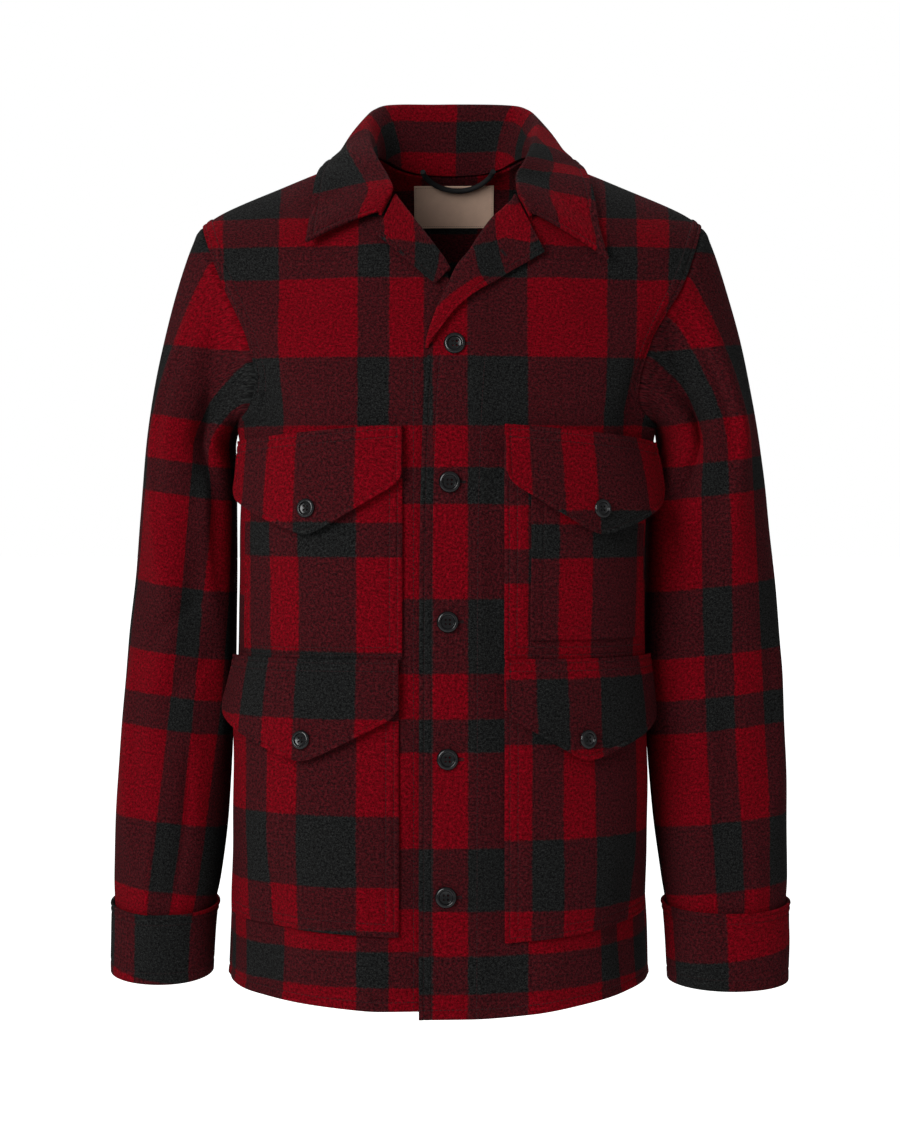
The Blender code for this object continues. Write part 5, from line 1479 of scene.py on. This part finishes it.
# Buttons and buttonholes
# Turned four-hole buttons of glossy black horn-like resin, sewn on with crossed black thread.
# The buttonholes are worked in black thread, and each front one peeps out beside its button.
FRONT_BUTTONS = (
    (0.0050, -0.1793), (0.0005, -0.3002), (-0.0012, -0.4222), (-0.0012, -0.5417), (-0.0026, -0.6617))
FRONT_BUTTON_DIAMETER = 0.0190
LAPEL_SLITS = (
    (-1, (-0.0410, -0.1000), (0.66, -0.75), 0.0090),
    (1, (0.0500, -0.1010), (0.66, -0.75), 0.0130),
)
FLAP_BUTTON_DIAMETER = 0.0170
BUTTON_WELL = 0.42
BUTTON_HEIGHT = 0.36
BUTTON_PROFILE = (
    (0.0, BUTTON_WELL), (0.52, BUTTON_WELL), (0.58, 0.46), (0.62, 0.60), (0.65, 0.80), (0.69, 0.94),
    (0.75, 1.0), (0.82, 0.98), (0.90, 0.88), (0.96, 0.70), (1.0, 0.46), (0.98, 0.26), (0.92, 0.10),
    (0.82, 0.0), (0.0, 0.0),
)
HOLE_AT = 0.185
HOLE_RADIUS = 0.100
BUTTON_BLACK = (0.0045, 0.0045, 0.0050, 1.0)
BUTTON_WORN = (0.014, 0.014, 0.015, 1.0)


def button_material():
    """Polished black resin with faint clouds, duller where fingers have rubbed it."""
    material = bpy.data.materials.new("button_black")
    material.use_nodes = True
    tree = material.node_tree
    shader = tree.nodes["Principled BSDF"]
    place = put(tree, "ShaderNodeTexCoord")
    clouds = stretched(tree, grain(tree, place.outputs["Object"], 160.0, 3.0), 0.40, 0.75)
    rubbed = stretched(tree, grain(tree, place.outputs["Object"], 900.0, 4.0, 0.7), 0.45, 0.75)
    tree.links.new(blend_colours(tree, sum_up(tree, "MULTIPLY", clouds, 0.5), BUTTON_BLACK, BUTTON_WORN),
                   shader.inputs["Base Color"])
    tree.links.new(sum_up(tree, "MULTIPLY_ADD", rubbed, 0.12, 0.12), shader.inputs["Roughness"])
    bump = put(tree, "ShaderNodeBump", {"Height": rubbed}, {"Strength": 0.15, "Distance": 0.0001})
    tree.links.new(bump.outputs[0], shader.inputs["Normal"])
    shader.inputs["Specular IOR Level"].default_value = 0.45
    return material


BUTTON = button_material()


def turned_button():
    """One button of unit radius, spun from its profile, with its four holes bored through."""
    mesh = bpy.data.meshes.new("button_form")
    mesh.from_pydata([(r, 0.0, h * BUTTON_HEIGHT) for r, h in BUTTON_PROFILE],
                     [(i, i + 1) for i in range(len(BUTTON_PROFILE) - 1)], [])
    form = bpy.data.objects.new("button_form", mesh)
    bpy.context.scene.collection.objects.link(form)
    spun = form.modifiers.new("turned", "SCREW")
    spun.steps = spun.render_steps = 48
    spun.use_merge_vertices = True
    spun.merge_threshold = 0.0001
    finish_shape(form)
    bpy.ops.object.mode_set(mode="EDIT")
    bpy.ops.mesh.select_all(action="SELECT")
    bpy.ops.mesh.normals_make_consistent(inside=False)
    bpy.ops.object.mode_set(mode="OBJECT")
    for x, y in ((-1, -1), (-1, 1), (1, -1), (1, 1)):
        bpy.ops.object.select_all(action="DESELECT")
        bpy.ops.mesh.primitive_cylinder_add(
            vertices=20, radius=HOLE_RADIUS, depth=2.0, location=(x * HOLE_AT, y * HOLE_AT, 0.0))
        drill = bpy.context.object
        bored = form.modifiers.new("bored", "BOOLEAN")
        bored.object = drill
        bored.operation = "DIFFERENCE"
        bored.solver = "EXACT"
        finish_shape(form)
        bpy.data.objects.remove(drill, do_unlink=True)
    bpy.ops.object.select_all(action="DESELECT")
    bpy.context.view_layer.objects.active = form
    form.select_set(True)
    bpy.ops.object.shade_smooth_by_angle(angle=math.radians(38))
    return form


BUTTON_FORM = turned_button()


def sew_button(name, place, out, diameter):
    """A copy of the button at its place, set just off the cloth, with a crossed thread through its holes."""
    out = Vector(out)
    turn = out.to_track_quat("Z", "Y").to_matrix().to_4x4()
    seat = Matrix.Translation(Vector(place) + out * 0.0006) @ turn
    piece = bpy.data.objects.new(f"{name}_turned", BUTTON_FORM.data.copy())
    bpy.context.scene.collection.objects.link(piece)
    piece.data.transform(seat @ Matrix.Scale(diameter / 2, 4))
    dress(piece, BUTTON, name)
    radius = diameter / 2
    top = BUTTON_WELL * BUTTON_HEIGHT * radius
    rows = []
    for first, last in (((-1, -1), (1, 1)), ((-1, 1), (1, -1))):
        ends = [seat @ Vector((x * HOLE_AT * radius, y * HOLE_AT * radius, top)) for x, y in (first, last)]
        rows.append((np.array(ends), np.array([out, out])))
    length = 2.3 * math.hypot(HOLE_AT, HOLE_AT) * radius
    for path, _ in rows:
        middle = path.mean(axis=0)
        path[:] = middle + (path - middle) * 1.30
    stitched(f"{name}_thread", rows, pitch=1.0, length=length, radius=0.00026, sink=-0.0002,
             thread=BLACK_THREAD)


def nearest_on(outer, normals, x, z):
    """The place and normal of the outer side nearest to a place across and a height."""
    away = np.hypot(outer[..., 0] - x, outer[..., 2] - z)
    at = np.unravel_index(away.argmin(), away.shape)
    return outer[at], normals[at]


def worked_slit(place, out, along, length):
    """Rows of a buttonhole: a bar of thread along each lip."""
    across = np.cross(out, along)
    rows = []
    for lip in (-1, 1):
        middle = place + across * lip * 0.0007
        ends = np.array([middle - along * length / 2, middle + along * length / 2])
        rows.append((ends, np.array([out, out])))
    return rows


slits = []
for number, (x, z) in enumerate(FRONT_BUTTONS, start=1):
    place, out = nearest_on(OVER_OUTER, OVER_NORMALS, x, z)
    place = np.array([x, place[1] + (x - place[0]) * -out[0] / out[1], z])
    sew_button(f"button_front_{number}", place, out, FRONT_BUTTON_DIAMETER)
    slit, slit_out = nearest_on(OVER_OUTER, OVER_NORMALS, x + 0.0085, z)
    slit = np.array([x + 0.0085, slit[1], z])
    slits += worked_slit(slit, slit_out, np.array([1.0, 0.0, 0.0]), 0.0125)
for side, (x, z), (run, rise), length in LAPEL_SLITS:
    slit, slit_out = nearest_on(*LAPELS[side], x, z)
    slits += worked_slit(slit, slit_out, np.array([run, 0.0, rise]), length)
for where in ("chest", "hip"):
    for side, word in ((-1, "right"), (1, "left")):
        place, out = FLAP_SEATS[f"{where}_flap_{word}"]
        sew_button(f"button_{where}_{word}", place, out, FLAP_BUTTON_DIAMETER)
stitched("buttonholes", slits, pitch=0.0009, length=0.0010, radius=0.00048, thread=BLACK_THREAD)
bpy.data.objects.remove(BUTTON_FORM, do_unlink=True)


# Label and hanger loop
# A bare woven label of natural linen, stitched inside the back neck, under a loop of black cord for a peg.
# Both are held to the back's inner side, the loop by its ends in the collar seam.
LOOP_ENDS = (-0.0246, 0.0416)
LOOP_TOP = -0.0045
LOOP_SAG = 0.0175
LOOP_THICK = 0.0050
LABEL_WALL = 0.0008
LABEL_MIDDLE = 0.0047
LABEL_SIZE = (0.0756, 0.0394)
LABEL_TOP = -0.0195
LABEL_OFF = 0.0010
LOOP_OFF = 0.0005
LABEL_BORDER = 0.0022
# The label's two linen colours are painted lighter than the linen itself: painted light standing in for light
# that the inner neck shades off
LINEN_PAINTED_LIGHT = (0.88, 0.620, 0.470, 1.0)
LINEN_DARK_PAINTED_LIGHT = (0.60, 0.390, 0.280, 1.0)
TAPE_BLACK = (0.0085, 0.0085, 0.0092, 1.0)
LABEL_THREAD = (0.15, 0.080, 0.050, 1.0)


def inside_back(x, z, distance):
    """Points at places across and heights, laid against the inner side of the back."""
    level = level_at(x, z, 1)
    return off_torso(arc_at(x, level), level, 1, -distance)


def linen_material():
    """Plain-woven linen tape: warp and weft threads of uneven thickness, from places in the cloth, in linen
    colours lightened with painted light.
    """
    material = bpy.data.materials.new("label_linen")
    material.use_nodes = True
    tree = material.node_tree
    shader = tree.nodes["Principled BSDF"]
    places = put(tree, "ShaderNodeUVMap", uv_map="cloth").outputs[0]
    threads = []
    for way in ("X", "Y"):
        wave = put(tree, "ShaderNodeTexWave", {"Vector": places},
                   {"Scale": 330.0, "Distortion": 1.5, "Detail": 2.0, "Detail Scale": 2.0},
                   bands_direction=way)
        threads.append(wave.outputs[1])
    weave = sum_up(tree, "MULTIPLY", sum_up(tree, "ADD", *threads), 0.5)
    tone = sum_up(tree, "MULTIPLY", weave, 0.6)
    tone = sum_up(tree, "MULTIPLY_ADD", grain(tree, places, 120.0, 3.0), 0.5, tone)
    tree.links.new(blend_colours(tree, tone, LINEN_DARK_PAINTED_LIGHT, LINEN_PAINTED_LIGHT), shader.inputs["Base Color"])
    bump = put(tree, "ShaderNodeBump", {"Height": weave}, {"Strength": 0.6, "Distance": 0.0003})
    tree.links.new(bump.outputs[0], shader.inputs["Normal"])
    shader.inputs["Roughness"].default_value = 0.85
    shader.inputs["Sheen Weight"].default_value = 0.15
    return material


down = np.linspace(0, LABEL_SIZE[1], 25)
across = np.linspace(-0.5, 0.5, 49) * LABEL_SIZE[0]
down, across = np.meshgrid(down, across, indexing="ij")
points = inside_back(LABEL_MIDDLE + across, LABEL_TOP - down, WALL / 2 + LABEL_WALL / 2 + LABEL_OFF)
inset = np.minimum(np.minimum(down, LABEL_SIZE[1] - down), LABEL_SIZE[0] / 2 - np.abs(across))
relief = -0.0003 * np.exp(-(((inset - LABEL_BORDER) / 0.0008) ** 2))
relief = relief + wavering(across * 3, down * 3, 0.0003, 1.0)
label, outer, normals = sew_piece(
    "neck_label_bare", points, np.stack([across, down], axis=-1), relief, (12, 24, (0, -1, 0)), LABEL_WALL,
    round_edge=0.0003)
dress(label, linen_material(), "neck_label")
inner = slice(1, -1)
border = [(outer[1, inner], normals[1, inner]), (outer[-2, inner], normals[-2, inner]),
          (outer[inner, 1], normals[inner, 1]), (outer[inner, -2], normals[inner, -2])]
stitched("stitching_label", border, pitch=0.0021, length=0.0015, radius=0.00018, sink=0.00004,
         thread=thread_material("thread_tan", LABEL_THREAD))

share = np.linspace(0, 1, 49)
x = LOOP_ENDS[0] + (LOOP_ENDS[1] - LOOP_ENDS[0]) * share
z = LOOP_TOP - LOOP_SAG * np.clip(4 * share * (1 - share), 0, 1) ** 0.7
route = inside_back(x, z, WALL / 2 + LABEL_WALL + LOOP_THICK / 2 + LABEL_OFF + LOOP_OFF)
curve = bpy.data.curves.new("hanger_loop_cord", "CURVE")
curve.dimensions = "3D"
curve.bevel_depth = LOOP_THICK / 2
curve.bevel_resolution = 4
curve.use_fill_caps = True
spline = curve.splines.new("POLY")
spline.points.add(len(route) - 1)
for target, point in zip(spline.points, route):
    target.co = (*point, 1.0)
loop = bpy.data.objects.new("hanger_loop_cord", curve)
bpy.context.scene.collection.objects.link(loop)
bpy.ops.object.select_all(action="DESELECT")
bpy.context.view_layer.objects.active = loop
loop.select_set(True)
bpy.ops.object.convert(target="MESH")
loop = bpy.context.object
loop.data.shade_smooth()
dress(loop, thread_material("tape_black", TAPE_BLACK), "hanger_loop")


# Floor, light and camera
# A plain white floor well below the hanging overshirt, a white room, and soft lamps: a broad one in front
# on the viewer's left, a weaker one on the right and one above. The camera stands as the photograph's did.
FLOOR_Z = -1.30
CAMERA_AT = (0.0, -2.6, -0.290)
CAMERA_TO = (0.00092, 0.0, -0.375)
CAMERA_LENS = 36 * 2.6 / 1.035

bpy.ops.object.select_all(action="DESELECT")
bpy.ops.mesh.primitive_plane_add(size=60.0, location=(0.0, 0.0, FLOOR_Z))
floor = bpy.context.object
floor.name = "studio_floor"
floor_paint = bpy.data.materials.new("floor_white")
floor_paint.use_nodes = True
shader = floor_paint.node_tree.nodes["Principled BSDF"]
shader.inputs["Base Color"].default_value = (0.9, 0.9, 0.9, 1.0)
shader.inputs["Roughness"].default_value = 0.9
shader.inputs["Emission Color"].default_value = (1.0, 1.0, 1.0, 1.0)
seen = put(floor_paint.node_tree, "ShaderNodeLightPath")
floor_paint.node_tree.links.new(seen.outputs["Is Camera Ray"], shader.inputs["Emission Strength"])
floor.data.materials.append(floor_paint)

world = bpy.data.worlds.new("white_room")
world.use_nodes = True
bpy.context.scene.world = world
tree = world.node_tree
room = tree.nodes["Background"]
room.inputs["Color"].default_value = (1.0, 1.0, 1.0, 1.0)
room.inputs["Strength"].default_value = 0.25
seen = put(tree, "ShaderNodeBackground", values={"Color": (1.0, 1.0, 1.0, 1.0), "Strength": 1.0})
rays = put(tree, "ShaderNodeLightPath")
choose = put(tree, "ShaderNodeMixShader",
             {0: rays.outputs["Is Camera Ray"], 1: room.outputs[0], 2: seen.outputs[0]})
tree.links.new(choose.outputs[0], tree.nodes["World Output"].inputs["Surface"])


def soft_lamp(name, place, towards, size, power):
    lamp = bpy.data.lights.new(name, "AREA")
    lamp.shape = "RECTANGLE"
    lamp.size, lamp.size_y = size
    lamp.energy = power
    holder = bpy.data.objects.new(name, lamp)
    bpy.context.scene.collection.objects.link(holder)
    holder.location = place
    holder.rotation_euler = (Vector(towards) - Vector(place)).to_track_quat("-Z", "Y").to_euler()


soft_lamp("key_left", (-1.5, -2.3, 0.60), (-0.02, 0.0, -0.30), (1.3, 1.6), 52.0)
soft_lamp("fill_right", (2.2, -2.2, 0.1), (0.0, 0.0, -0.4), (1.4, 1.8), 4.0)
soft_lamp("top_back", (0.2, 1.2, 1.6), (0.0, 0.0, -0.1), (1.8, 1.0), 22.0)

camera = bpy.data.cameras.new("camera")
camera.sensor_width = 36
camera.sensor_fit = "AUTO"
camera.lens = CAMERA_LENS
camera_holder = bpy.data.objects.new("camera", camera)
bpy.context.scene.collection.objects.link(camera_holder)
camera_holder.location = CAMERA_AT
camera_holder.rotation_euler = (Vector(CAMERA_TO) - Vector(CAMERA_AT)).to_track_quat("-Z", "Y").to_euler()
bpy.context.scene.camera = camera_holder
bpy.context.scene.view_settings.view_transform = "Standard"
